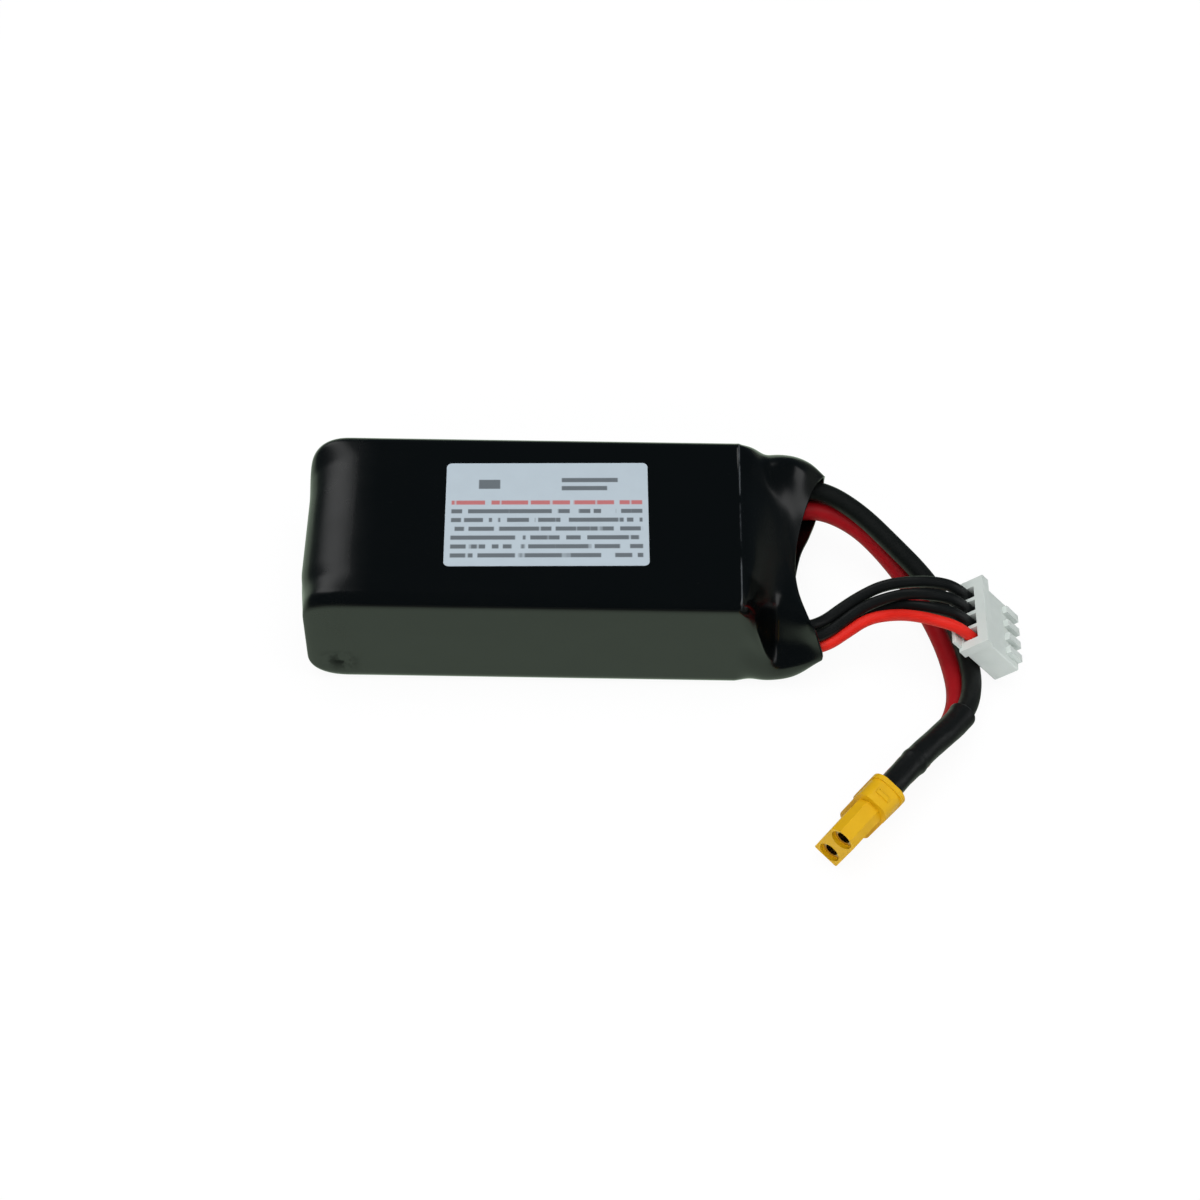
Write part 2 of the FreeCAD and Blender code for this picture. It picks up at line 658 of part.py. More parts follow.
def contact(name, side):
    """A socket contact: solder cup, body and the bore for a pin."""
    cup = doc.addObject("Part::Cylinder", name + "_cup")
    bind(cup, Radius="cup_diameter / 2", Height="cup_reach + rim_length")
    place(cup, "0", "%d * contact_pitch / 2" % side, "-cup_reach")
    barrel = doc.addObject("Part::Cylinder", name + "_barrel")
    bind(barrel, Radius="contact_diameter / 2",
         Height="housing_length - contact_recess - rim_length")
    place(barrel, "0", "%d * contact_pitch / 2" % side, "rim_length")
    bore = doc.addObject("Part::Cylinder", name + "_bore")
    bind(bore, Radius="contact_bore / 2", Height="contact_bore_depth")
    place(bore, "0", "%d * contact_pitch / 2" % side,
          "housing_length - contact_recess - contact_bore_depth")
    well = doc.addObject("Part::Cylinder", name + "_solder_well")
    bind(well, Radius="cup_bore / 2", Height="cup_depth")
    place(well, "0", "%d * contact_pitch / 2" % side, "-cup_reach")
    outside = fuse(name + "_outside", [cup, barrel])
    hollow = fuse(name + "_hollow", [bore, well])
    thing = cut(name + "_turned", outside, hollow)
    thing.Placement = connector_placement()
    return node(thing, name)


contact("negative_socket_contact", 1)
contact("positive_socket_contact", -1)


# ---- balance plug ----------------------------------------------------------------------
# Its own frame: Z from the wire end to the mating end, +X to the back, +Y to the ribs.
def plug_placement():
    dip = math.radians(size("plug_dip"))
    mating = Vector(math.cos(dip), 0, -math.sin(dip))
    turn = Rotation(Y_AXIS, mating.cross(Y_AXIS), mating, "ZXY")
    return Placement(Vector(size("plug_x"), size("plug_y"), size("plug_z")), turn)


WAYS = (1.5, 0.5, -0.5, -1.5)


def balance_housing():
    """A box of four ways with a flange and a plain lip at its wire end, and guide ribs."""
    body = new_body("plug_body")
    block = pad_up(body, rectangle_sketch(body, "plug_block", "plug_width",
                                          "plug_thickness"), "plug_depth")
    dress(body, "Fillet", block, "plug_softening", lambda e: along(e, Z_AXIS))
    flange = rectangle_sketch(body, "flange", "plug_flange_width",
                              "plug_thickness + plug_flange_rise",
                              y="plug_flange_rise / 2")
    pad_up(body, flange, "plug_flange_length")
    lip = rectangle_sketch(body, "lip", "plug_width", "plug_lip_thickness",
                           y="(plug_lip_thickness - plug_thickness) / 2",
                           z="-plug_lip_length")
    pad_up(body, lip, "plug_lip_length")
    for i, way in enumerate(WAYS):
        hollow = rectangle_sketch(body, "way_%d" % i, "way_width",
                                  "plug_thickness - 2 * plug_wall", x="%g * plug_pitch" % way)
        pocket_up(body, hollow, "plug_depth")
    for i, way in enumerate(WAYS):
        window = rectangle_sketch(body, "window_%d" % i, "window_width", "plug_wall",
                                  x="%g * plug_pitch" % way,
                                  y="(plug_wall - plug_thickness) / 2", z="window_start")
        pocket_up(body, window, "window_length")
    for i, way in enumerate(WAYS):
        rib = rectangle_sketch(body, "rib_%d" % i, "plug_rib_width", "plug_rib_height",
                               x="%g * plug_rib_pitch" % way,
                               y="(plug_thickness + plug_rib_height) / 2",
                               z="plug_depth - plug_rib_length")
        pad_up(body, rib, "plug_rib_length")
    return body


plug = balance_housing()
plug.Placement = plug_placement()
node(plug, "balance_plug_housing")


def balance_terminals():
    """The four crimp terminals: a crimp round the lead's end and a box for the post."""
    terminals = []
    for i, way in enumerate(WAYS):
        x_middle = "%g * plug_pitch" % way
        name = "terminal_%d" % i
        side = "way_width - 2 * terminal_gap"
        sleeve = doc.addObject("Part::Box", name + "_box")
        bind(sleeve, Length=side, Width=side, Height="terminal_length")
        place(sleeve, "%s - (%s) / 2" % (x_middle, side),
              "plug_wall - plug_thickness / 2 + terminal_gap", "terminal_start")
        crimp = doc.addObject("Part::Cylinder", name + "_crimp")
        bind(crimp, Radius="crimp_diameter / 2", Height="terminal_start - lead_entry")
        place(crimp, x_middle, "way_width / 2 + plug_wall - plug_thickness / 2", "lead_entry")
        post = doc.addObject("Part::Box", name + "_post")
        bind(post, Length="terminal_hole", Width="terminal_hole", Height="terminal_length")
        place(post, "%s - terminal_hole / 2" % x_middle,
              "(way_width - terminal_hole) / 2 + plug_wall - plug_thickness / 2",
              "terminal_start + terminal_gap")
        solid = fuse(name + "_solid", [sleeve, crimp])
        terminals.append(cut(name, solid, post))
    group = doc.addObject("Part::Compound", "terminals")
    group.Links = terminals
    group.Placement = plug_placement()
    return node(group, "balance_terminals")


balance_terminals()


# ---- leads -----------------------------------------------------------------------------
def route_corners(points):
    """Radius and tangent points of the arc at each inner point of a route."""
    corners = []
    for before, here, after in zip(points, points[1:], points[2:]):
        back = before - here
        ahead = after - here
        reach = 0.45 * min(back.Length, ahead.Length)
        half_turn = (math.pi - back.getAngle(ahead)) / 2
        radius = reach / math.tan(half_turn)
        enter = here + back.normalize() * reach
        leave = here + ahead.normalize() * reach
        centre = here + (back + ahead).normalize() * (radius / math.cos(half_turn))
        bulge = centre + (here - centre).normalize() * radius
        corners.append((radius, enter, bulge, leave))
    return corners


def route_edges(points, first=0, finish=None):
    """Straight runs joined by tangent arcs, from the start of the route, or from the
    middle of the arc at one of its points, to its last point or past it."""
    corners = route_corners(points)
    edges = []
    here = points[0]
    if first:
        radius, enter, bulge, leave = corners[first - 1]
        whole = Part.Arc(enter, bulge, leave)
        middle = (whole.FirstParameter + whole.LastParameter) / 2
        edges.append(whole.toShape(middle, whole.LastParameter))
        here = leave
        corners = corners[first:]
    for radius, enter, bulge, leave in corners:
        edges.append(Part.LineSegment(here, enter).toShape())
        edges.append(Part.Arc(enter, bulge, leave).toShape())
        here = leave
    edges.append(Part.LineSegment(here, finish or points[-1]).toShape())
    return edges


def tube(edges, diameter):
    """A round solid along a path, its volume checked against section times length."""
    path = Part.Wire(edges)
    start = edges[0].valueAt(edges[0].FirstParameter)
    heading = edges[0].tangentAt(edges[0].FirstParameter)
    ring = Part.Wire(Part.Circle(start, heading, diameter / 2).toShape())
    solid = path.makePipeShell([ring], True, False)
    expected = math.pi * diameter ** 2 / 4 * path.Length
    if abs(solid.Volume - expected) > 0.01 * expected:
        raise RuntimeError("a tube's volume is off: %g for %g" % (solid.Volume, expected))
    return solid


def lead(label, points, diameter):
    edges = route_edges(points)
    length = sum(edge.Length for edge in edges)
    radii = ", ".join("%.1f" % corner[0] for corner in route_corners(points))
    print("%s: %.1f long, radii %s" % (label, length, radii))
    return node(shaped(label + "_tube", tube(edges, diameter)), label)


def sleeve(label, points, first, rim):
    """A shrink sleeve from the middle of one bend of its lead to the connector's rim."""
    edges = route_edges(points, first, rim)
    outside = tube(edges, size("sleeve_outer"))
    inside = tube(edges, size("main_lead_diameter") + 2 * size("sleeve_gap"))
    return node(shaped(label + "_tube", outside.cut(inside)), label)


LAST_MAIN_RUN = 6.2
LAST_TAP_RUN = 4.2
from_connector = connector_placement()
from_plug = plug_placement()


def contact_spot(side, back):
    """A point on a contact's axis, this far behind the rim."""
    return from_connector.multVec(Vector(0, side * size("contact_pitch") / 2, -back))


def way_spot(way, depth):
    """A point on the axis of a terminal in the plug."""
    height = size("way_width") / 2 + size("plug_wall") - size("plug_thickness") / 2
    return from_plug.multVec(Vector(way * size("plug_pitch"), height, depth))


def main_route(points, side):
    cup = size("cup_reach")
    return points + [contact_spot(side, cup + LAST_MAIN_RUN), contact_spot(side, cup)]


def tap_route(points, way):
    entry = size("lead_entry")
    return points + [way_spot(way, entry - LAST_TAP_RUN), way_spot(way, entry)]


main_start = size("board_face") + size("joint_length")
tap_start = size("board_face") + size("tap_joint_length")
negative_route = main_route([
    Vector(main_start, 12.9, 9.8), Vector(30.6, 12.9, 9.8), Vector(35.2, 14.2, 10.1),
    Vector(39.6, 13.5, 10.2), Vector(44.7, 9.9, 9.4), Vector(49.3, 5.1, 8.1),
    Vector(54.0, 0.0, 6.7), Vector(58.2, -6.6, 4.9), Vector(60.4, -14.4, 3.8),
    Vector(60.2, -20.6, 4.2), Vector(58.0, -26.0, 5.6)], 1)
positive_route = main_route([
    Vector(main_start, 11.0, 6.4), Vector(30.4, 11.0, 6.4), Vector(34.8, 12.6, 6.8),
    Vector(39.2, 12.7, 6.9), Vector(44.3, 10.3, 6.0), Vector(48.6, 5.9, 4.7),
    Vector(52.4, 0.6, 3.2), Vector(55.6, -5.8, 1.9), Vector(57.4, -12.6, 1.6),
    Vector(58.2, -19.4, 1.6), Vector(56.4, -25.8, 2.2)], -1)
TAP_ROUTES = [
    tap_route([
        Vector(tap_start, -12.4, 11.4), Vector(29.4, -12.4, 11.4), Vector(32.6, -12.6, 10.4),
        Vector(35.6, -12.2, 9.3), Vector(38.3, -10.5, 8.7), Vector(40.9, -8.2, 9.3),
        Vector(43.6, -6.5, 9.9), Vector(47.0, -5.4, 11.1), Vector(51.0, -5.9, 12.7),
        Vector(55.0, -6.6, 13.5)], 1.5),
    tap_route([
        Vector(tap_start, -12.6, 9.0), Vector(29.4, -12.6, 9.0), Vector(32.8, -13.2, 8.5),
        Vector(36.0, -13.5, 8.0), Vector(38.8, -12.3, 8.0), Vector(41.4, -10.3, 8.7),
        Vector(44.0, -8.5, 9.5), Vector(47.4, -7.3, 10.7), Vector(51.0, -7.8, 12.5),
        Vector(55.0, -9.1, 13.5)], 0.5),
    tap_route([
        Vector(tap_start, -12.4, 6.8), Vector(29.4, -12.4, 6.8), Vector(32.8, -12.2, 6.6),
        Vector(36.0, -11.9, 6.3), Vector(38.8, -10.9, 6.4), Vector(41.4, -9.3, 6.9),
        Vector(44.4, -8.0, 7.7), Vector(47.8, -7.6, 8.6), Vector(51.1, -9.3, 11.3),
        Vector(55.0, -11.5, 13.2)], -0.5),
    tap_route([
        Vector(tap_start, -12.6, 4.6), Vector(29.4, -12.6, 4.6), Vector(32.8, -13.4, 5.2),
        Vector(36.0, -14.0, 6.1), Vector(39.0, -13.6, 6.4), Vector(41.7, -11.8, 7.3),
        Vector(44.8, -10.0, 8.7), Vector(48.3, -10.0, 9.8), Vector(51.3, -12.0, 12.0),
        Vector(54.9, -13.9, 13.4)], -1.5),
]
TAP_LABELS = ("balance_lead_negative", "balance_lead_first_tap",
              "balance_lead_second_tap", "balance_lead_positive")

lead("main_lead_negative", negative_route, size("main_lead_diameter"))
lead("main_lead_positive", positive_route, size("main_lead_diameter"))
for tap_label, tap_points in zip(TAP_LABELS, TAP_ROUTES):
    lead(tap_label, tap_points, size("tap_lead_diameter"))
sleeve("negative_solder_sleeve", negative_route, 10, contact_spot(1, 0))
sleeve("positive_solder_sleeve", positive_route, 11, contact_spot(-1, 0))


def solder_joint(spot, start, radius, length):
    """A fillet of solder from the board's face to the end of a lead."""
    return Part.makeCone(size(radius), start, size(length),
                         Vector(size("board_face"), spot.y, spot.z), X_AXIS)


def solder_joints():
    main_radius = size("main_lead_diameter") / 2
    tap_radius = size("tap_lead_diameter") / 2
    joints = [solder_joint(route[0], main_radius, "joint_radius", "joint_length")
              for route in (negative_route, positive_route)]
    joints += [solder_joint(route[0], tap_radius, "tap_joint_radius", "tap_joint_length")
               for route in TAP_ROUTES]
    return Part.makeCompound(joints)


node(shaped("joints", solder_joints()), "board_solder_joints")

# ---- check and write -------------------------------------------------------------------
doc.recompute()
for thing in doc.Objects:
    if "Invalid" in thing.State or "Error" in thing.State:
        raise RuntimeError(thing.Label + " failed: " + ", ".join(thing.State))
for thing in nodes:
    if thing.Shape.isNull() or not thing.Shape.isValid():
        raise RuntimeError(thing.Label + " has no valid shape")

os.makedirs("parts", exist_ok=True)
for thing in nodes:
    thing.Shape.exportStep(os.path.join("parts", thing.Label + ".step"))
    bounds = thing.Shape.BoundBox
    print("%-28s %2d solids %8.1f mm3  x %6.1f %6.1f  y %6.1f %6.1f  z %5.1f %5.1f" % (
        thing.Label, len(thing.Shape.Solids), thing.Shape.Volume, bounds.XMin, bounds.XMax,
        bounds.YMin, bounds.YMax, bounds.ZMin, bounds.ZMax))
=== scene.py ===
"""A pouch battery pack in black shrink film, with its leads, power connector and balance plug.

Lengths are in millimetres, and MM turns them into Blender's metres. The lamps and the floor are
given in metres."""
import math
from collections import namedtuple

import bpy
import numpy as np
from mathutils import Matrix, Vector


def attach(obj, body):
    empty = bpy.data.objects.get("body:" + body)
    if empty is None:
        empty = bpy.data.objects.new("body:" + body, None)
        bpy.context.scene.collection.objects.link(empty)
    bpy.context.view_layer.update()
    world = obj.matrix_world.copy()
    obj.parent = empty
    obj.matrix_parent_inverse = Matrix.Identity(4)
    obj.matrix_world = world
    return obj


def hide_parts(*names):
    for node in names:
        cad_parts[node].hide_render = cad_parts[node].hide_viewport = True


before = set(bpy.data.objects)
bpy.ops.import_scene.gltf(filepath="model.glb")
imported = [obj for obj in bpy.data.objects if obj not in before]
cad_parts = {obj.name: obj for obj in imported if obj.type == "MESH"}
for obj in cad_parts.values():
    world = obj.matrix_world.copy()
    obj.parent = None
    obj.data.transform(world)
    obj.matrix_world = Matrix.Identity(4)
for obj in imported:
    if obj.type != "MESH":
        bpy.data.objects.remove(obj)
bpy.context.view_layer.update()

MM = 0.001
ROOT = "root"
WHITE = (1.0, 1.0, 1.0)
scene = bpy.context.scene
scene.view_settings.view_transform = "Standard"

# ---- camera ------------------------------------------------------------------------------
CAMERA_PLACE = (7.93, -257.19, 322.08)
CAMERA_RIGHT = (0.99985, 0.01693, 0.00389)
CAMERA_UP = (-0.01566, 0.78155, 0.62365)
CAMERA_LENS = 80.31
CAMERA_SENSOR = 36.0
# The nearest distance that the camera sees, in metres.
CAMERA_NEAR = 0.01


def make_camera():
    """A camera that looks down on the pack's front, with a small roll."""
    data = bpy.data.cameras.new("camera")
    data.lens = CAMERA_LENS
    data.sensor_width = CAMERA_SENSOR
    data.clip_start = CAMERA_NEAR
    camera = bpy.data.objects.new("camera", data)
    scene.collection.objects.link(camera)
    right = Vector(CAMERA_RIGHT).normalized()
    up = Vector(CAMERA_UP).normalized()
    back = right.cross(up)
    turn = Matrix((right, up, back)).transposed()
    camera.matrix_world = Matrix.Translation(Vector(CAMERA_PLACE) * MM) @ turn.to_4x4()
    scene.camera = camera


make_camera()


# ---- shading helpers ---------------------------------------------------------------------
class Shading:
    """The nodes of one material or world. A value is a socket or a number, and a colour is a
    socket or three numbers."""

    def __init__(self, tree):
        self.nodes = tree.nodes
        self.links = tree.links

    def give(self, socket, value):
        """Link an input to another node's output, or set it."""
        if isinstance(value, bpy.types.NodeSocket):
            self.links.new(value, socket)
        elif socket.type == "RGBA":
            socket.default_value = (*value, 1.0)
        else:
            socket.default_value = value

    def add(self, kind, inputs, output=0, **settings):
        """Add a node, make its settings, fill its inputs and return one of its outputs."""
        node = self.nodes.new(kind)
        for name, setting in settings.items():
            setattr(node, name, setting)
        for name, value in inputs.items():
            self.give(node.inputs[name], value)
        return node.outputs[output]

    def position(self):
        """Object coordinates in millimetres."""
        metres = self.add("ShaderNodeTexCoord", {}, "Object")
        return self.add("ShaderNodeMapping", {"Vector": metres, "Scale": (1 / MM,) * 3})

    def split(self, vector):
        """The X, Y and Z of a vector."""
        node = self.nodes.new("ShaderNodeSeparateXYZ")
        self.links.new(vector, node.inputs[0])
        return tuple(node.outputs)

    def noise(self, vector, scale, detail=4.0, roughness=0.5):
        """Soft noise from 0 to 1, with so many patches to the unit."""
        inputs = {"Vector": vector, "Scale": scale, "Detail": detail, "Roughness": roughness}
        return self.add("ShaderNodeTexNoise", inputs, "Fac")

    def ramp(self, source, stops):
        """Grey levels by value. Each stop is a position and a level."""
        node = self.nodes.new("ShaderNodeValToRGB")
        for element, (position, level) in zip(node.color_ramp.elements, stops):
            element.position = position
            element.color = (level, level, level, 1.0)
        self.links.new(source, node.inputs["Fac"])
        return node.outputs["Color"]

    def bump(self, height, strength, distance, below=None):
        """A bump of so many millimetres, on top of another one if given."""
        inputs = {"Height": height, "Strength": strength, "Distance": distance * MM}
        if below is not None:
            inputs["Normal"] = below
        return self.add("ShaderNodeBump", inputs, "Normal")

    def mix(self, factor, first, second):
        """The first colour where the factor is 0 and the second where it is 1."""
        inputs = {0: factor, 6: first, 7: second}
        return self.add("ShaderNodeMix", inputs, 2, data_type="RGBA")

    def mix_shaders(self, factor, first, second):
        """The first shader where the factor is 0 and the second where it is 1."""
        return self.add("ShaderNodeMixShader", {0: factor, 1: first, 2: second})

    def math(self, operation, *values, clamp=False):
        """One math node."""
        inputs = dict(enumerate(values))
        return self.add("ShaderNodeMath", inputs, operation=operation, use_clamp=clamp)

    def product(self, first, *others):
        """All the values multiplied."""
        for value in others:
            first = self.math("MULTIPLY", first, value)
        return first

    def step(self, value, low, high, easing="LINEAR"):
        """0 up to the low value, 1 from the high one, and a slope between them."""
        inputs = {"Value": value, "From Min": low, "From Max": high}
        return self.add("ShaderNodeMapRange", inputs, "Result", interpolation_type=easing)

    def within(self, value, middle, half, edge=0.08):
        """1 where a value is within half of the middle, with a soft edge."""
        away = self.math("ABSOLUTE", self.math("SUBTRACT", value, middle))
        return self.step(away, half + edge, half - edge)


def new_material(name):
    """A material, its nodes and the inputs of its Principled shader."""
    material = bpy.data.materials.new(name)
    material.use_nodes = True
    net = Shading(material.node_tree)
    return material, net, net.nodes["Principled BSDF"].inputs


# ---- the film's material -----------------------------------------------------------------
FILM_IOR = 1.5
FILM_BLACK = (0.0010, 0.0014, 0.0015)
FILM_DUST = (0.010, 0.011, 0.011)
# The thin fold across the top: where it is, and the half width of the painted highlight along
# it, the heights between which that painted highlight shows, and its colour.
FOLD_X = 25.6
FOLD_HIGHLIGHT_HALF = 0.08
FOLD_HIGHLIGHT_RISE = (17.6, 18.6)
FOLD_HIGHLIGHT_COLOUR = (0.075, 0.082, 0.088)
# Scuffs low on the front: their middle, half size and soft edge along X and Z, and the step in Y
# that keeps them to the front.
SCUFF_X = (-33.6, 2.0, 1.4)
SCUFF_Z = (4.6, 1.5, 1.2)
SCUFF_Y = (-14.0, -15.5)
# The crease in the neck's front corner: the same along X and Y, and a step in Z.
CREASE_X = (28.0, 1.4, 0.5)
CREASE_Y = (-12.6, 2.9, 0.5)
CREASE_Z = (7.0, 9.0)
# How much the scuffs and the crease take from the usual reflection.
REFLECTION = 0.5
DULLING = 0.42
# Where the film gets rougher along X, and by how much: the neck and the blind end.
ROUGHER_PARTS = [((27.0, 30.0), 0.13), ((-28.5, -32.5), 0.17)]


def film_dullness(net, place):
    """Where the film hardly shines: in the scuffs and in the neck's crease."""
    x, y, z = net.split(place)
    rubbed = net.step(net.noise(place, scale=0.6, detail=3.0), low=0.42, high=0.56)
    scuffs = net.product(net.within(x, *SCUFF_X), net.within(z, *SCUFF_Z),
                         net.step(y, *SCUFF_Y), rubbed)
    crease = net.product(net.within(x, *CREASE_X), net.within(y, *CREASE_Y),
                         net.step(z, *CREASE_Z))
    return net.math("MAXIMUM", scuffs, crease)


def film_roughness(net, place):
    """A little uneven everywhere, and more at both ends."""
    x, _, _ = net.split(place)
    haze = net.noise(place, scale=0.11, detail=3.0, roughness=0.55)
    roughness = net.ramp(haze, [(0.3, 0.09), (0.7, 0.15)])
    for (start, finish), more in ROUGHER_PARTS:
        part = net.product(net.step(x, start, finish), more)
        roughness = net.math("ADD", roughness, part)
    return roughness


def film_colour(net, place):
    """Black with specks of dust, and a painted highlight along the fold, broken up by noise."""
    x, _, z = net.split(place)
    specks = net.noise(place, scale=1.9, detail=2.0, roughness=0.6)
    dust = net.ramp(specks, [(0.76, 0.0), (0.80, 1.0)])
    black = net.mix(dust, FILM_BLACK, FILM_DUST)
    # A painted highlight along the fold, broken up by noise.
    highlight_breaks = net.step(net.noise(place, scale=0.25, detail=2.0), low=0.35, high=0.6)
    line = net.product(net.within(x, FOLD_X, FOLD_HIGHLIGHT_HALF), net.step(z, *FOLD_HIGHLIGHT_RISE), highlight_breaks)
    return net.mix(line, black, FOLD_HIGHLIGHT_COLOUR)


def film_material():
    """Black shrink film: a glossy skin with soft waves and a faint orange peel."""
    material, net, shader = new_material("black_film")
    place = net.position()
    net.give(shader["IOR"], FILM_IOR)
    net.give(shader["Base Color"], film_colour(net, place))
    net.give(shader["Roughness"], film_roughness(net, place))
    dulled = net.product(film_dullness(net, place), DULLING)
    net.give(shader["Specular IOR Level"], net.math("SUBTRACT", REFLECTION, dulled))
    waves = net.bump(net.noise(place, scale=0.12, detail=1.0), strength=0.15, distance=0.4)
    peel = net.bump(net.noise(place, scale=2.4, detail=3.0), strength=0.06, distance=0.06,
                    below=waves)
    net.give(shader["Normal"], peel)
    return material


# ---- the other materials -----------------------------------------------------------------
def plain_material(name, dark, light, roughness, grain, depth, metallic=0.0, sheen=0.5):
    """A moulded or rolled surface: two close colours, uneven gloss and a fine grain."""
    material, net, shader = new_material(name)
    place = net.position()
    low, high = roughness
    net.give(shader["Metallic"], metallic)
    net.give(shader["Specular IOR Level"], sheen)
    patches = net.noise(place, scale=0.5, detail=3.0)
    net.give(shader["Base Color"], net.mix(patches, dark, light))
    haze = net.noise(place, scale=1.3, detail=2.0)
    net.give(shader["Roughness"], net.ramp(haze, [(0.3, low), (0.7, high)]))
    grains = net.noise(place, scale=grain, detail=3.0)
    net.give(shader["Normal"], net.bump(grains, strength=0.3, distance=depth))
    return material


# Each has two colours, its least and greatest roughness, the grain to the millimetre and the
# grain's depth. The leads, the sleeves and the yellow nylon are less shiny than the rest.
PLAIN_LOOKS = {
    "black_silicone": {
        "dark": (0.0035, 0.0042, 0.004), "light": (0.0065, 0.0075, 0.007),
        "roughness": (0.38, 0.5), "grain": 4.0, "depth": 0.04, "sheen": 0.22,
    },
    "dark_red_silicone": {
        "dark": (0.28, 0.004, 0.008), "light": (0.38, 0.008, 0.012), "roughness": (0.45, 0.6),
        "grain": 4.0, "depth": 0.04, "sheen": 0.18,
    },
    "black_insulation": {
        "dark": (0.0035, 0.004, 0.004), "light": (0.007, 0.008, 0.008),
        "roughness": (0.34, 0.46), "grain": 5.0, "depth": 0.03, "sheen": 0.25,
    },
    "red_insulation": {
        "dark": (0.58, 0.012, 0.008), "light": (0.68, 0.022, 0.012), "roughness": (0.4, 0.55),
        "grain": 5.0, "depth": 0.03, "sheen": 0.2,
    },
    "black_sleeve": {
        "dark": (0.003, 0.0035, 0.0035), "light": (0.006, 0.007, 0.007),
        "roughness": (0.32, 0.46), "grain": 2.0, "depth": 0.05, "sheen": 0.25,
    },
    "red_sleeve": {
        "dark": (0.33, 0.006, 0.007), "light": (0.42, 0.011, 0.012), "roughness": (0.4, 0.55),
        "grain": 2.0, "depth": 0.05, "sheen": 0.2,
    },
    "yellow_nylon": {
        "dark": (0.6, 0.33, 0.003), "light": (0.69, 0.39, 0.005), "roughness": (0.36, 0.48),
        "grain": 3.0, "depth": 0.03, "sheen": 0.25,
    },
    "white_nylon": {
        "dark": (0.54, 0.59, 0.56), "light": (0.63, 0.67, 0.64), "roughness": (0.38, 0.5),
        "grain": 3.0, "depth": 0.02,
    },
    "gilt_contact": {
        "dark": (0.7, 0.52, 0.26), "light": (0.8, 0.63, 0.36), "roughness": (0.2, 0.32),
        "grain": 6.0, "depth": 0.01, "metallic": 1.0,
    },
    "tinned_terminal": {
        "dark": (0.55, 0.55, 0.54), "light": (0.66, 0.66, 0.65), "roughness": (0.3, 0.42),
        "grain": 6.0, "depth": 0.01, "metallic": 1.0,
    },
    "cell_pouch_foil": {
        "dark": (0.55, 0.56, 0.58), "light": (0.66, 0.67, 0.69), "roughness": (0.3, 0.45),
        "grain": 1.0, "depth": 0.1, "metallic": 0.9,
    },
    "nickel_tab": {
        "dark": (0.52, 0.5, 0.46), "light": (0.62, 0.6, 0.56), "roughness": (0.25, 0.4),
        "grain": 5.0, "depth": 0.02, "metallic": 1.0,
    },
    "aluminium_tab": {
        "dark": (0.62, 0.62, 0.64), "light": (0.74, 0.74, 0.76), "roughness": (0.25, 0.4),
        "grain": 5.0, "depth": 0.02, "metallic": 1.0,
    },
    "tab_sealant": {
        "dark": (0.45, 0.46, 0.4), "light": (0.58, 0.59, 0.52), "roughness": (0.4, 0.5),
        "grain": 3.0, "depth": 0.02,
    },
    "cell_tape": {
        "dark": (0.7, 0.7, 0.68), "light": (0.8, 0.8, 0.78), "roughness": (0.6, 0.7),
        "grain": 3.0, "depth": 0.03,
    },
    "board_laminate": {
        "dark": (0.015, 0.11, 0.05), "light": (0.03, 0.16, 0.08), "roughness": (0.25, 0.35),
        "grain": 8.0, "depth": 0.02,
    },
    "insulating_card": {
        "dark": (0.5, 0.47, 0.38), "light": (0.62, 0.58, 0.48), "roughness": (0.75, 0.85),
        "grain": 9.0, "depth": 0.04,
    },
    "foam": {
        "dark": (0.02, 0.02, 0.02), "light": (0.04, 0.04, 0.04), "roughness": (0.85, 0.95),
        "grain": 6.0, "depth": 0.1,
    },
    "solder": {
        "dark": (0.5, 0.5, 0.51), "light": (0.68, 0.68, 0.69), "roughness": (0.2, 0.35),
        "grain": 3.0, "depth": 0.04, "metallic": 1.0,
    },
}
MATERIALS = {name: plain_material(name, **look) for name, look in PLAIN_LOOKS.items()}
MATERIALS["black_film"] = film_material()

CELLS = ("bottom_cell", "middle_cell", "top_cell")
NODE_MATERIALS = {
    "tab_sealing_strips": "tab_sealant",
    "lower_cell_pad": "cell_tape",
    "upper_cell_pad": "cell_tape",
    "tab_board": "board_laminate",
    "insulating_frame": "insulating_card",
    "tail_insulating_card": "insulating_card",
    "tail_foam_pad": "foam",
    "negative_socket_contact": "gilt_contact",
    "positive_socket_contact": "gilt_contact",
    "balance_terminals": "tinned_terminal",
    "board_solder_joints": "solder",
    "connector_housing": "yellow_nylon",
    "balance_plug_housing": "white_nylon",
}
for cell in CELLS:
    NODE_MATERIALS[cell] = "cell_pouch_foil"
    NODE_MATERIALS[cell + "_positive_tab"] = "aluminium_tab"
    NODE_MATERIALS[cell + "_negative_tab"] = "nickel_tab"
for node_name, look_name in NODE_MATERIALS.items():
    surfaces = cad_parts[node_name].data.materials
    surfaces.clear()
    surfaces.append(MATERIALS[look_name])


# ---- mesh helpers ------------------------------------------------------------------------
def add_mesh(name, points, faces, look, smooth=True):
    """A mesh object from points in millimetres."""
    mesh = bpy.data.meshes.new(name)
    mesh.from_pydata((np.asarray(points) * MM).tolist(), [], faces)
    mesh.update()
    if smooth:
        mesh.shade_smooth()
    mesh.materials.append(MATERIALS[look])
    thing = bpy.data.objects.new(name, mesh)
    scene.collection.objects.link(thing)
    return thing


def grid_faces(rows, columns, start=0, flip=False):
    """Quads over rows of points, closed round each row."""
    faces = []
    for i in range(rows - 1):
        for j in range(columns):
            k = (j + 1) % columns
            quad = (start + i * columns + j, start + i * columns + k,
                    start + (i + 1) * columns + k, start + (i + 1) * columns + j)
            faces.append(quad[::-1] if flip else quad)
    return faces


def smoothstep(value, low, high):
    """An eased rise from 0 at the low value to 1 at the high one."""
    t = np.clip((value - low) / (high - low), 0.0, 1.0)
    return t * t * (3 - 2 * t)


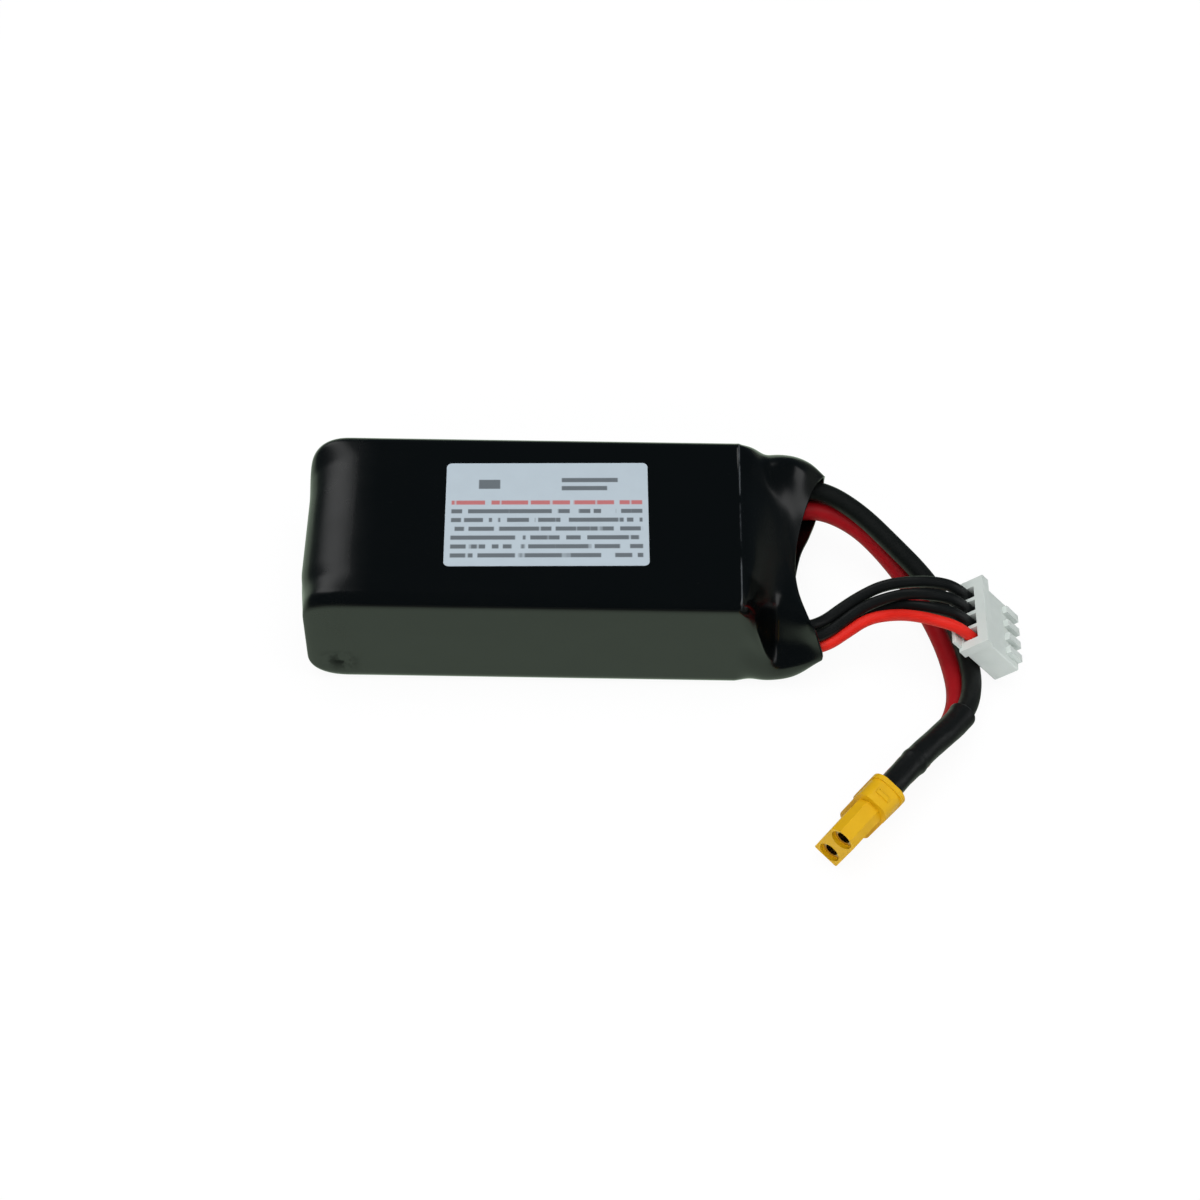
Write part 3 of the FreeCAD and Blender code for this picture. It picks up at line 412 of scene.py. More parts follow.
def between(a, b, start, finish, t):
    """The point at t on the straight line that is at a at the start and at b at the finish."""
    return ((finish - t) * a + (t - start) * b) / (finish - start)


def curve_through(points, samples):
    """A closed centripetal Catmull-Rom curve, with so many samples per span."""
    points = np.asarray(points, float)
    count = len(points)
    out = []
    for i in range(count):
        p = [points[(i + k) % count] for k in (-1, 0, 1, 2)]
        knots = [0.0]
        for a, b in zip(p, p[1:]):
            knots.append(knots[-1] + max(np.linalg.norm(b - a), 1e-6) ** 0.5)
        for s in range(samples):
            t = knots[1] + (knots[2] - knots[1]) * s / samples
            first = [between(p[k], p[k + 1], knots[k], knots[k + 1], t) for k in range(3)]
            second = [between(first[k], first[k + 1], knots[k], knots[k + 2], t)
                      for k in range(2)]
            out.append(between(second[0], second[1], knots[1], knots[2], t))
    return np.array(out)


def rows_between(rows, stations, wanted):
    """Rows of points at the wanted stations, by a monotone cubic through the given rows."""
    rows = np.asarray(rows, float)
    stations = np.asarray(stations, float)
    steps = np.diff(stations)[:, None, None]
    slopes = np.diff(rows, axis=0) / steps
    tangents = np.zeros_like(rows)
    tangents[0] = slopes[0]
    tangents[-1] = slopes[-1]
    before, after = slopes[:-1], slopes[1:]
    heavy = 2 * steps[1:] + steps[:-1]
    light = steps[1:] + 2 * steps[:-1]
    same = before * after > 0
    safe_before = np.where(same, before, 1.0)
    safe_after = np.where(same, after, 1.0)
    mean = (heavy + light) / (heavy / safe_before + light / safe_after)
    tangents[1:-1] = np.where(same, mean, 0.0)
    out = []
    for t in wanted:
        i = int(np.clip(np.searchsorted(stations, t) - 1, 0, len(steps) - 1))
        h = steps[i, 0, 0]
        u = (t - stations[i]) / h
        leaving = (2 * u ** 3 - 3 * u ** 2 + 1) * rows[i]
        leaving = leaving + (u ** 3 - 2 * u ** 2 + u) * h * tangents[i]
        coming = (3 * u ** 2 - 2 * u ** 3) * rows[i + 1]
        coming = coming + (u ** 3 - u ** 2) * h * tangents[i + 1]
        out.append(leaving + coming)
    return np.array(out)


# ---- leads -------------------------------------------------------------------------------
# Across the two main leads, and across the four thin balance leads.
MAIN_DIAMETER = 3.0
TAP_DIAMETER = 1.75
# Points of Blender's curve to each span: of a lead, and of the line that a sleeve follows.
LEAD_SAMPLES = 16
LINE_SAMPLES = 24
# Extra points to each quarter of a lead's round section.
LEAD_ROUNDNESS = 6
Lead = namedtuple("Lead", "slot length points")
LEADS = {
    "main_lead_negative": Lead("black_silicone", 78.3, [
        (26.3, 12.9, 9.8), (30.6, 12.9, 9.8), (35.2, 14.2, 10.1), (39.6, 13.5, 10.2),
        (44.7, 9.9, 9.4), (49.3, 5.1, 8.1), (54.0, 0.0, 6.7), (58.2, -6.6, 4.9),
        (60.4, -14.4, 3.8), (60.2, -20.6, 4.2), (58.0, -26.0, 5.6), (51.47, -33.82, 7.86),
        (47.61, -38.67, 7.86),
    ]),
    "main_lead_positive": Lead("dark_red_silicone", 74.9, [
        (26.3, 11.0, 6.4), (30.4, 11.0, 6.4), (34.8, 12.6, 6.8), (39.2, 12.7, 6.9),
        (44.3, 10.3, 6.0), (48.6, 5.9, 4.7), (52.4, 0.6, 3.2), (55.8, -5.8, 1.9),
        (57.8, -12.6, 1.6), (58.5, -19.4, 1.6), (56.4, -25.8, 2.2), (50.16, -32.78, 3.14),
        (46.3, -37.63, 3.14),
    ]),
    "balance_lead_negative": Lead("black_insulation", 39.4, [
        (26.0, -9.6, 9.4), (29.4, -9.6, 9.4), (32.6, -11.0, 9.2), (35.6, -12.2, 9.3),
        (38.3, -10.6, 8.7), (40.9, -8.6, 9.3), (43.6, -6.8, 9.9), (47.0, -5.5, 11.1),
        (51.0, -5.9, 12.7), (55.0, -6.6, 13.5), (58.15, -6.85, 12.4), (60.78, -6.85, 9.13),
    ]),
    "balance_lead_first_tap": Lead("black_insulation", 39.2, [
        (26.0, -9.8, 7.3), (29.4, -9.8, 7.3), (32.8, -11.8, 7.3), (36.0, -13.5, 8.0),
        (38.8, -12.3, 8.0), (41.4, -10.3, 8.7), (44.0, -8.5, 9.5), (47.4, -7.45, 10.5),
        (51.0, -7.9, 12.45), (55.0, -9.1, 13.5), (58.15, -9.35, 12.4), (60.78, -9.35, 9.13),
    ]),
    "balance_lead_second_tap": Lead("black_insulation", 39.5, [
        (26.0, -10.8, 5.4), (29.4, -10.8, 5.4), (32.8, -11.4, 5.6), (36.0, -11.9, 6.3),
        (38.8, -10.9, 6.4), (41.4, -9.3, 6.9), (44.4, -8.0, 7.7), (47.8, -7.6, 8.6),
        (51.1, -9.3, 11.3), (55.0, -11.5, 13.2), (58.15, -11.85, 12.4), (60.78, -11.85, 9.13),
    ]),
    "balance_lead_positive": Lead("red_insulation", 39.9, [
        (26.0, -10.8, 3.2), (29.4, -10.8, 3.2), (32.8, -13.0, 4.6), (36.0, -14.0, 6.1),
        (39.0, -13.4, 6.6), (41.7, -11.7, 7.4), (44.8, -10.0, 8.7), (48.3, -10.0, 9.8),
        (51.3, -11.8, 12.0), (54.9, -13.9, 13.4), (58.15, -14.35, 12.4),
        (60.78, -14.35, 9.13),
    ]),
}


def nurbs_line(name, points, scale, samples):
    """Curve data with one smooth line that its points pull on."""
    data = bpy.data.curves.new(name, "CURVE")
    data.dimensions = "3D"
    data.resolution_u = samples
    line = data.splines.new("NURBS")
    line.points.add(len(points) - 1)
    for spot, place in zip(line.points, points):
        spot.co = (*(Vector(place) * scale), 1.0)
    line.order_u = 3
    line.use_endpoint_u = True
    return data


def lead_curve(name, points, diameter, look):
    """A lead as one smooth line with a round section."""
    data = nurbs_line(name, points, MM, LEAD_SAMPLES)
    data.bevel_depth = diameter * MM / 2
    data.bevel_resolution = LEAD_ROUNDNESS
    data.use_fill_caps = True
    data.materials.append(MATERIALS[look])
    thing = bpy.data.objects.new(name, data)
    scene.collection.objects.link(thing)
    return thing


def centre_line(points):
    """Points in millimetres along the smooth line of a lead."""
    probe = bpy.data.objects.new("line", nurbs_line("line", points, 1.0, LINE_SAMPLES))
    scene.collection.objects.link(probe)
    mesh = bpy.data.meshes.new_from_object(probe)
    out = np.array([tuple(vertex.co) for vertex in mesh.vertices])
    bpy.data.objects.remove(probe)
    return out


wires = {}
for lead_name, lead in LEADS.items():
    thick = MAIN_DIAMETER if lead_name.startswith("main") else TAP_DIAMETER
    wire = lead_curve(lead_name + "_wire", lead.points, thick, lead.slot)
    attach(wire, ROOT)
    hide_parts(lead_name)
    wires[lead_name] = wire


# ---- the film's shape --------------------------------------------------------------------
HALF_WIDTH = 16.35
HEIGHT = 19.2
EDGE_RADIUS = 2.0
FILM_WALL = 0.3
# The straight body, and the last stretch of it that belongs to the neck's grid.
BODY_START = -30.4
BODY_END = 25.5
NECK_LEAD_IN = 0.4
# Where a ring's inner marks lie, as a share of its flat top and underside.
INNER_MARK = 0.55
# How many samples each span of a ring has, and how many rings each part of the film has.
SPAN_SAMPLES = 18
END_ROWS = 60
BODY_ROWS = 64
NECK_ROWS = 90
# How many times the neck's rings are evened out along the pack.
NECK_SOFTENING = 50
# Rings of the neck: sixteen points each, in the same order as the outline's spans.
NECK_RINGS = [
    (27.0, [
        (27.0, -13.8, 17.6), (27.0, -7.8, 18.3), (27.0, 0.0, 18.4), (27.0, 7.8, 18.5),
        (27.0, 13.9, 19.1), (27.1, 16.2, 17.5), (27.2, 16.3, 9.4), (27.2, 16.25, 2.4),
        (27.2, 14.0, 0.15), (27.2, 7.8, 0.1), (27.2, 0.0, 0.1), (27.2, -7.8, 0.1),
        (27.2, -14.2, 0.05), (27.2, -16.3, 2.2), (27.1, -16.3, 8.8), (27.0, -16.1, 14.6)]),
    (28.6, [
        (28.4, -12.9, 15.4), (28.6, -7.4, 16.6), (28.6, 0.0, 17.0), (28.6, 7.8, 17.3),
        (28.6, 13.6, 18.0), (28.9, 16.3, 16.1), (29.0, 16.4, 8.8), (29.0, 16.0, 3.2),
        (28.8, 13.6, 0.9), (28.8, 7.6, 0.9), (28.8, 0.0, 0.9), (28.8, -7.6, 0.6),
        (29.0, -14.0, 0.1), (29.0, -16.3, 1.6), (28.8, -16.3, 7.2), (28.5, -15.9, 12.0)]),
    (29.7, [
        (29.6, -11.3, 14.0), (29.7, -6.6, 15.2), (29.7, 0.0, 15.9), (29.7, 7.8, 16.4),
        (29.7, 13.5, 16.9), (30.0, 16.4, 15.0), (30.1, 16.6, 8.8), (30.0, 16.0, 3.8),
        (29.8, 13.5, 1.8), (29.7, 7.5, 1.7), (29.7, 0.0, 1.7), (29.8, -7.4, 1.2),
        (30.0, -13.8, 0.1), (30.1, -16.3, 1.5), (29.9, -16.3, 5.4), (29.7, -15.0, 8.8)]),
    (30.8, [
        (30.8, -9.9, 12.6), (30.8, -6.0, 13.9), (30.8, 0.0, 14.7), (30.8, 7.8, 15.6),
        (31.0, 13.4, 17.6), (31.2, 16.4, 15.4), (31.4, 16.7, 8.9), (31.3, 15.9, 4.5),
        (31.0, 13.3, 2.7), (30.8, 7.4, 2.6), (30.8, 0.0, 2.8), (31.0, -7.2, 2.1),
        (31.2, -13.6, 0.3), (31.4, -16.2, 1.5), (31.2, -16.2, 4.0), (31.0, -13.4, 6.4)]),
    (33.0, [
        (32.8, -10.8, 11.6), (32.4, -6.2, 12.5), (32.2, 0.0, 13.3), (32.6, 7.8, 14.5),
        (33.2, 13.2, 17.6), (33.8, 16.2, 15.4), (34.0, 16.8, 9.2), (33.8, 16.0, 5.4),
        (33.2, 13.0, 3.9), (32.6, 7.2, 4.2), (32.2, 0.0, 5.0), (32.4, -6.6, 4.2),
        (33.2, -13.0, 1.4), (33.6, -16.0, 1.9), (33.6, -16.3, 4.6), (33.3, -14.0, 6.8)]),
    (35.4, [
        (35.2, -12.3, 11.3), (33.5, -6.4, 11.9), (33.2, -0.4, 12.3), (34.0, 7.2, 13.1),
        (35.6, 12.6, 16.1), (36.6, 15.6, 14.8), (37.0, 16.5, 9.8), (36.6, 15.8, 6.4),
        (35.8, 12.8, 4.7), (34.6, 7.0, 5.8), (33.6, 0.0, 7.0), (33.6, -6.0, 6.0),
        (35.0, -12.4, 3.1), (35.8, -15.6, 3.4), (36.2, -16.4, 5.8), (36.0, -14.6, 8.0)]),
    (37.4, [
        (36.4, -13.7, 11.2), (34.5, -7.0, 11.3), (34.2, -1.0, 11.2), (35.6, 7.0, 12.1),
        (37.6, 12.2, 13.2), (39.0, 14.6, 12.6), (39.2, 15.9, 10.3), (39.0, 15.2, 7.2),
        (38.2, 12.4, 5.0), (36.9, 7.6, 6.4), (35.2, 2.4, 7.6), (34.2, -5.0, 7.4),
        (35.6, -12.0, 4.6), (37.0, -15.0, 5.0), (38.0, -16.5, 7.2), (37.3, -15.1, 9.3)]),
]
# The blind end rounds over towards its opening in these shares of a quarter turn.
END_STEPS = (0.0, 0.05, 0.11, 0.18, 0.26, 0.35, 0.45, 0.56, 0.68, 0.80, 0.90, 0.97, 1.0)
# Its face in X. Towards the front edge it is set back and towards the rear edge it stands out,
# between these shares of the half width.
END_FACE = -39.2
END_SETBACK = 0.7
END_SETBACK_ACROSS = (0.50, 0.92)
END_STANDOUT = 0.3
END_STANDOUT_ACROSS = (0.4, 0.9)
# How far along X the rounding reaches and how square it is, at the middle and at the corners,
# and between which shares of the half width that changes.
END_DEPTHS = (8.2, 6.2)
END_POWERS = (2.0, 2.4)
END_CORNER_ACROSS = (0.66, 0.96)
# Half the height that is left when it is round, and how far its sides draw in.
END_UPRIGHT = 5.2
END_FRONT_DRAWN_IN = 0.8
END_REAR_DRAWN_IN = 3.4
# The station of its last ring, when the opening's edge is at 0 and the first ring at 1.
END_LAST_STATION = 8.0
# The opening in the blind end.
HOLE_HALF_WIDTH = 11.0
HOLE_LOW = 4.6
HOLE_HIGH = 14.6
HOLE_RADIUS = 3.0
HOLE_INSET = 0.1
# The thin fold across the top, and the heights between which it fades in.
FOLD_HALF_LENGTH = 0.26
FOLD_HEIGHT = 0.14
FOLD_LOW = HEIGHT - 1.2
FOLD_HIGH = HEIGHT - 0.4


def outline(half, low, high, radius, x):
    """A rounded rectangle across the pack as sixteen spans, from the front top corner over
    the top, down the back, along the underside and up the front."""
    corner = half - radius
    inner = INNER_MARK * corner
    marks_across = (-corner, -inner, 0.0, inner, corner)
    middle = (low + high) / 2
    marks_down = (high - radius, middle, low + radius)
    share = np.arange(SPAN_SAMPLES) / SPAN_SAMPLES
    spans = []

    def flat(start, finish):
        """A straight span."""
        spans.append(np.outer(1 - share, start) + np.outer(share, finish))

    def bend(y, z, first):
        """A quarter turn round a centre, clockwise from its first angle in degrees."""
        angle = math.radians(first) - share * math.pi / 2
        spans.append(np.stack([y + radius * np.cos(angle), z + radius * np.sin(angle)], axis=1))

    for a, b in zip(marks_across, marks_across[1:]):
        flat((a, high), (b, high))
    bend(corner, high - radius, 90)
    for a, b in zip(marks_down, marks_down[1:]):
        flat((half, a), (half, b))
    bend(corner, low + radius, 0)
    for a, b in zip(marks_across[::-1], marks_across[-2::-1]):
        flat((a, low), (b, low))
    bend(-corner, low + radius, -90)
    for a, b in zip(marks_down[::-1], marks_down[-2::-1]):
        flat((-half, a), (-half, b))
    bend(-corner, high - radius, 180)
    return at_x(np.concatenate(spans), x)


def at_x(ring, x):
    """A ring's Y and Z at the given X."""
    return np.column_stack([np.full(len(ring), x), ring[:, -2:]])


def end_rings(ring):
    """Rings from the edge of the opening in the blind end back to the straight body: the film
    rounds over on all sides and its last stretch stands upright."""
    rings = []
    across = ring[:, 1] / HALF_WIDTH
    upright = (ring[:, 2] - HEIGHT / 2) / (HEIGHT / 2)
    corner = smoothstep(np.abs(across), *END_CORNER_ACROSS)
    depth = END_DEPTHS[0] + (END_DEPTHS[1] - END_DEPTHS[0]) * corner
    power = END_POWERS[0] + (END_POWERS[1] - END_POWERS[0]) * corner
    face = (END_FACE + END_SETBACK * smoothstep(-across, *END_SETBACK_ACROSS)
            - END_STANDOUT * smoothstep(across, *END_STANDOUT_ACROSS))
    drawn_in = np.where(across > 0, END_REAR_DRAWN_IN, END_FRONT_DRAWN_IN)
    for share in END_STEPS:
        turn = share * math.pi / 2
        out = math.sin(turn) ** (2 / power)
        keep = math.cos(turn) ** (2 / power)
        moved = ring.copy()
        moved[:, 0] = face + depth * (1 - out)
        moved[:, 1] = ring[:, 1] * (1 - drawn_in * (1 - keep) / HALF_WIDTH)
        moved[:, 2] = HEIGHT / 2 + upright * (END_UPRIGHT + (HEIGHT / 2 - END_UPRIGHT) * keep)
        rings.append(moved)
    hole = outline(HOLE_HALF_WIDTH, HOLE_LOW, HOLE_HIGH, HOLE_RADIUS, END_FACE + HOLE_INSET)
    return [hole] + rings[::-1]


def soften(rows, times):
    """Even out a grid of rings along its length, with its first and last rings kept."""
    for _ in range(times):
        rows[1:-1] = 0.5 * rows[1:-1] + 0.25 * (rows[:-2] + rows[2:])
    return rows


def fold_top(rows):
    """Raise the thin fold across the top."""
    top = smoothstep(rows[:, :, 2], FOLD_LOW, FOLD_HIGH)
    away = (rows[:, :, 0] - FOLD_X) / FOLD_HALF_LENGTH
    rows[:, :, 2] += FOLD_HEIGHT * top * np.exp(-away ** 2)
    return rows


def film_surface():
    """Rings of the film's outer skin from the blind end to the mouth."""
    ring = outline(HALF_WIDTH, 0.0, HEIGHT, EDGE_RADIUS, 0.0)
    end = end_rings(ring)
    end_places = np.concatenate([[0.0], np.linspace(1.0, END_LAST_STATION, len(end) - 1)])
    end_wanted = np.linspace(0.0, END_LAST_STATION, END_ROWS)
    end_rows = rows_between(end, end_places, end_wanted)
    neck_start = BODY_END - NECK_LEAD_IN
    body_rows = [at_x(ring, x) for x in np.linspace(BODY_START, neck_start, BODY_ROWS)]
    neck = [at_x(ring, neck_start), at_x(ring, BODY_END)]
    neck += [curve_through(points, SPAN_SAMPLES) for _, points in NECK_RINGS]
    places = [neck_start, BODY_END] + [x for x, _ in NECK_RINGS]
    neck_wanted = np.linspace(places[0], places[-1], NECK_ROWS)[1:]
    neck_rows = soften(rows_between(neck, places, neck_wanted), NECK_SOFTENING)
    return fold_top(np.concatenate([end_rows, body_rows, neck_rows]))


def grid_normals(rows):
    """Outward normals of a grid of closed rings."""
    along = np.gradient(rows, axis=0)
    round_it = (np.roll(rows, -1, axis=1) - np.roll(rows, 1, axis=1)) / 2
    normals = np.cross(along, round_it)
    lengths = np.linalg.norm(normals, axis=2, keepdims=True)
    return normals / np.maximum(lengths, 1e-9)


def make_film():
    """The film as an outer and an inner skin, joined at the opening and at the mouth."""
    outer = film_surface()
    count, columns = outer.shape[:2]
    inner = outer - grid_normals(outer) * FILM_WALL
    points = np.concatenate([outer.reshape(-1, 3), inner.reshape(-1, 3)])
    size = count * columns
    faces = grid_faces(count, columns)
    faces += grid_faces(count, columns, start=size, flip=True)
    for row, flip in ((0, True), (count - 1, False)):
        for j in range(columns):
            k = (j + 1) % columns
            quad = (row * columns + j, row * columns + k,
                    size + row * columns + k, size + row * columns + j)
            faces.append(quad[::-1] if flip else quad)
    film = add_mesh("pack_film", points, faces, "black_film")
    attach(film, ROOT)
    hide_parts("heat_shrink_wrap")


make_film()


# ---- label -------------------------------------------------------------------------------
LABEL_SIZE = (30.2, 20.0)
LABEL_RADIUS = 0.8
LABEL_PLACE = (-3.15, 0.6, 19.22)
# How far the label is turned, in degrees.
LABEL_TURN = 1.35
LABEL_THICKNESS = 0.08
LABEL_CORNER_STEPS = 8
# Its layers from below the film's surface up: how far in each is, and its share of the thickness.
LABEL_LAYERS = [(0.0, -0.02), (0.0, 0.7), (0.03, 1.0)]
PAPER_COLOURS = ((0.40, 0.46, 0.51), (0.44, 0.51, 0.56))
PAPER_ROUGHNESS = 0.38
DARK_INK = (0.03, 0.035, 0.04)
RED_INK = (0.45, 0.05, 0.04)
INK_STRENGTH = 0.78
# Rows of dashes: the first row's height above the label's middle, the step down to the next,
# half a row's height, the band that holds them all and half its length.
ROW_FIRST = 2.2
ROW_STEP = 1.7
ROW_HALF = 0.40
ROWS_MIDDLE = -3.0
ROWS_HALF = 6.0
TEXT_MARGIN = 14.2
# How quickly the noise that cuts the dashes changes along a row and from row to row.
DASHES_ALONG = 0.62
DASHES_BY_ROW = 3.7
# Short bars in the heading: along, across, half length and half height.
HEADING_BARS = [(6.4, 6.6, 4.2, 0.42), (5.6, 5.0, 3.4, 0.42), (-8.6, 5.8, 1.6, 0.9)]


def label_ink(net, place):
    """Two masks for the label: where dark dashes and where red ones are printed."""
    along, across, _ = net.split(place)
    row = net.math("SUBTRACT", ROW_FIRST + ROW_STEP / 2, across)
    row = net.math("DIVIDE", row, ROW_STEP)
    number = net.math("FLOOR", row)
    beside = net.math("SUBTRACT", net.math("SUBTRACT", row, number), 0.5)
    in_row = net.within(net.product(beside, ROW_STEP), 0.0, ROW_HALF)
    spot = net.add("ShaderNodeCombineXYZ", {0: net.product(along, DASHES_ALONG),
                                            1: net.product(number, DASHES_BY_ROW)})
    dashes = net.step(net.noise(spot, scale=1.0, detail=1.0), low=0.40, high=0.44)
    rows = net.product(in_row, dashes, net.within(across, ROWS_MIDDLE, ROWS_HALF),
                       net.within(along, 0.0, TEXT_MARGIN))
    first = net.step(number, low=0.6, high=0.4)
    red = net.product(rows, first)
    dark = net.math("SUBTRACT", rows, red)
    for x, y, half_long, half_high in HEADING_BARS:
        bar = net.product(net.within(along, x, half_long), net.within(across, y, half_high))
        dark = net.math("ADD", dark, bar, clamp=True)
    return dark, red


def label_material():
    """Pale coated paper with a short heading and rows of plain dashes."""
    material, net, shader = new_material("label_paper")
    place = net.position()
    colour = net.mix(net.noise(place, scale=0.3, detail=3.0), *PAPER_COLOURS)
    for mask, ink in zip(label_ink(net, place), (DARK_INK, RED_INK)):
        colour = net.mix(net.product(mask, INK_STRENGTH), colour, ink)
    net.give(shader["Base Color"], colour)
    net.give(shader["Roughness"], PAPER_ROUGHNESS)
    fibres = net.noise(place, scale=3.0, detail=2.0)
    net.give(shader["Normal"], net.bump(fibres, strength=0.15, distance=0.02))
    return material


MATERIALS["label_paper"] = label_material()


def make_label():
    """A thin sheet with round corners, its edges eased into the film."""
    wide, tall = LABEL_SIZE[0] / 2, LABEL_SIZE[1] / 2
    ring = []
    for x, y, first in ((1, 1, 0), (-1, 1, 90), (-1, -1, 180), (1, -1, 270)):
        for step in range(LABEL_CORNER_STEPS + 1):
            angle = math.radians(first + step * 90 / LABEL_CORNER_STEPS)
            ring.append((x * (wide - LABEL_RADIUS) + LABEL_RADIUS * math.cos(angle),
                         y * (tall - LABEL_RADIUS) + LABEL_RADIUS * math.sin(angle)))
    ring = np.array(ring)
    layers = []
    for inset, height in LABEL_LAYERS:
        shrink = 1 - inset / np.linalg.norm(ring, axis=1, keepdims=True)
        heights = np.full(len(ring), height * LABEL_THICKNESS)
        layers.append(np.column_stack([ring * shrink, heights]))
    count = len(ring)
    faces = grid_faces(len(layers), count)
    faces.append(tuple(range((len(layers) - 1) * count, len(layers) * count)))
    label = add_mesh("pack_label", np.concatenate(layers), faces, "label_paper", smooth=False)
    turn = Matrix.Rotation(math.radians(LABEL_TURN), 4, "Z")
    label.matrix_world = Matrix.Translation(Vector(LABEL_PLACE) * MM) @ turn
    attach(label, ROOT)
    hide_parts("information_label")


make_label()


# ---- shrink sleeves ----------------------------------------------------------------------
SLEEVE_ROWS = 90
SLEEVE_SIDES = 48
# Ripples round a sleeve: height, how many round it, and how fast they turn along it.
RIPPLES = [(0.035, 2, 9), (0.02, 3, -23)]
# The rim is the centre of the connector's rim where the sleeve ends. Each dent is a share of
# the length, a width as a share and a depth outwards.
Sleeve = namedtuple("Sleeve", "slot rim length radius wall dents")
SLEEVES = {
    "negative": Sleeve("black_sleeve", (46.24, -40.39, 7.86), 19.8, 1.95, 0.4,
                       [(0.0, 0.05, 0.12), (0.66, 0.03, 0.14), (0.85, 0.12, -0.12)]),
    "positive": Sleeve("red_sleeve", (44.93, -39.35, 3.14), 11.2, 1.85, 0.35,
                       [(0.0, 0.06, 0.1), (0.3, 0.25, 0.12)]),
}


def sleeve_rings(sleeve, lead_points):
    """Rings round the last stretch of a lead and on to the connector's rim, with soft dents
    and ripples, and a plain inner ring at each end."""
    line = np.vstack([centre_line(lead_points), sleeve.rim])
    steps = np.linalg.norm(np.diff(line, axis=0), axis=1)
    reach = np.concatenate([[0.0], np.cumsum(steps)])
    wanted = np.linspace(reach[-1] - sleeve.length, reach[-1], SLEEVE_ROWS)
    path = np.stack([np.interp(wanted, reach, line[:, i]) for i in range(3)], axis=1)
    heading = np.gradient(path, axis=0)
    heading /= np.linalg.norm(heading, axis=1, keepdims=True)
    side = np.cross(heading, (0.0, 0.0, 1.0))
    side /= np.linalg.norm(side, axis=1, keepdims=True)
    rise = np.cross(side, heading)
    angles = np.linspace(0, 2 * math.pi, SLEEVE_SIDES, endpoint=False)

    def ring(i, radius):
        """A ring round one point of the path."""
        return (path[i] + np.outer(radius * np.cos(angles), side[i])
                + np.outer(radius * np.sin(angles), rise[i]))

    rings = []
    for i, t in enumerate(np.linspace(0, 1, SLEEVE_ROWS)):
        radius = sleeve.radius + sum(depth * math.exp(-((t - spot) / width) ** 2)
                                     for spot, width, depth in sleeve.dents)
        radius = radius + sum(height * np.sin(count * angles + turn * t)
                              for height, count, turn in RIPPLES)
        rings.append(ring(i, radius))
    bore = sleeve.radius - sleeve.wall
    return np.array([ring(0, bore)] + rings + [ring(SLEEVE_ROWS - 1, bore)])


for polarity, sleeve in SLEEVES.items():
    rows = sleeve_rings(sleeve, LEADS["main_lead_" + polarity].points)
    thing = add_mesh(polarity + "_sleeve", rows.reshape(-1, 3),
                     grid_faces(len(rows), SLEEVE_SIDES), sleeve.slot)
    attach(thing, ROOT)
    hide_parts(polarity + "_solder_sleeve")


# ---- raised mark on the connector's collar -----------------------------------------------
CONNECTOR_NOSE = Vector((-0.62251, -0.78261, 0.0))
CONNECTOR_UP = Vector((0.2612, -0.2078, 0.9427))
MARK_PLACE = Vector((45.36, -42.95, 10.41))
MARK_LENGTH = 2.3
MARK_WIDTH = 0.75
MARK_HEIGHT = 0.22
# Its layers from inside the collar up: how far in each is, and its share of the height.
MARK_LAYERS = [(0.0, -0.1), (0.0, 0.6), (0.12, 1.0)]


def make_mark():
    """The short raised bar that marks the negative side."""
    across = CONNECTOR_UP.cross(CONNECTOR_NOSE)
    points = []
    for inset, height in MARK_LAYERS:
        long, wide = MARK_LENGTH / 2 - inset, MARK_WIDTH / 2 - inset
        for a, b in ((-long, -wide), (long, -wide), (long, wide), (-long, wide)):
            points.append(MARK_PLACE + across * a + CONNECTOR_NOSE * b
                          + CONNECTOR_UP * height * MARK_HEIGHT)
    faces = grid_faces(len(MARK_LAYERS), 4)
    faces.append((8, 9, 10, 11))
    mark = add_mesh("connector_mark", [tuple(point) for point in points], faces,
                    "yellow_nylon", smooth=False)
    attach(mark, ROOT)


make_mark()


# ---- each lead in turn; nothing is put on it here ----------------------------------------
for lead_name, wire in wires.items():
    lead = LEADS[lead_name]


# ---- floor and world ---------------------------------------------------------------------
# The floor's half size and height, in metres.
FLOOR_HALF = 3.0
FLOOR_Z = -0.0001
FLOOR_PAINT = (0.98, 0.98, 0.98)
# How much of the floor's look is its own light, where it is seen or mirrored.
FLOOR_GLOW = 0.93
# The floor as gloss shows it: its tint, its least and added brightness, and between which X and
# which Y it changes from bright to dim, in metres.
FLOOR_TINT = (0.79, 1.0, 0.76)
FLOOR_DIM = 0.06
FLOOR_BRIGHTER = 0.74
FLOOR_FADE_X = (0.045, 0.080)
FLOOR_FADE_Y = (-0.030, -0.100)
ROOM_COLOUR = (0.045, 0.06, 0.07)


def floor_shade(net):
    """How brightly the floor shows in gloss: bright beside the pack, dim to the right of it
    and far in front."""
    x, y, _ = net.split(net.add("ShaderNodeTexCoord", {}, "Object"))
    near = [net.step(value, dim, bright, easing="SMOOTHSTEP")
            for value, (bright, dim) in ((x, FLOOR_FADE_X), (y, FLOOR_FADE_Y))]
    return net.math("ADD", FLOOR_DIM, net.product(*near, FLOOR_BRIGHTER))


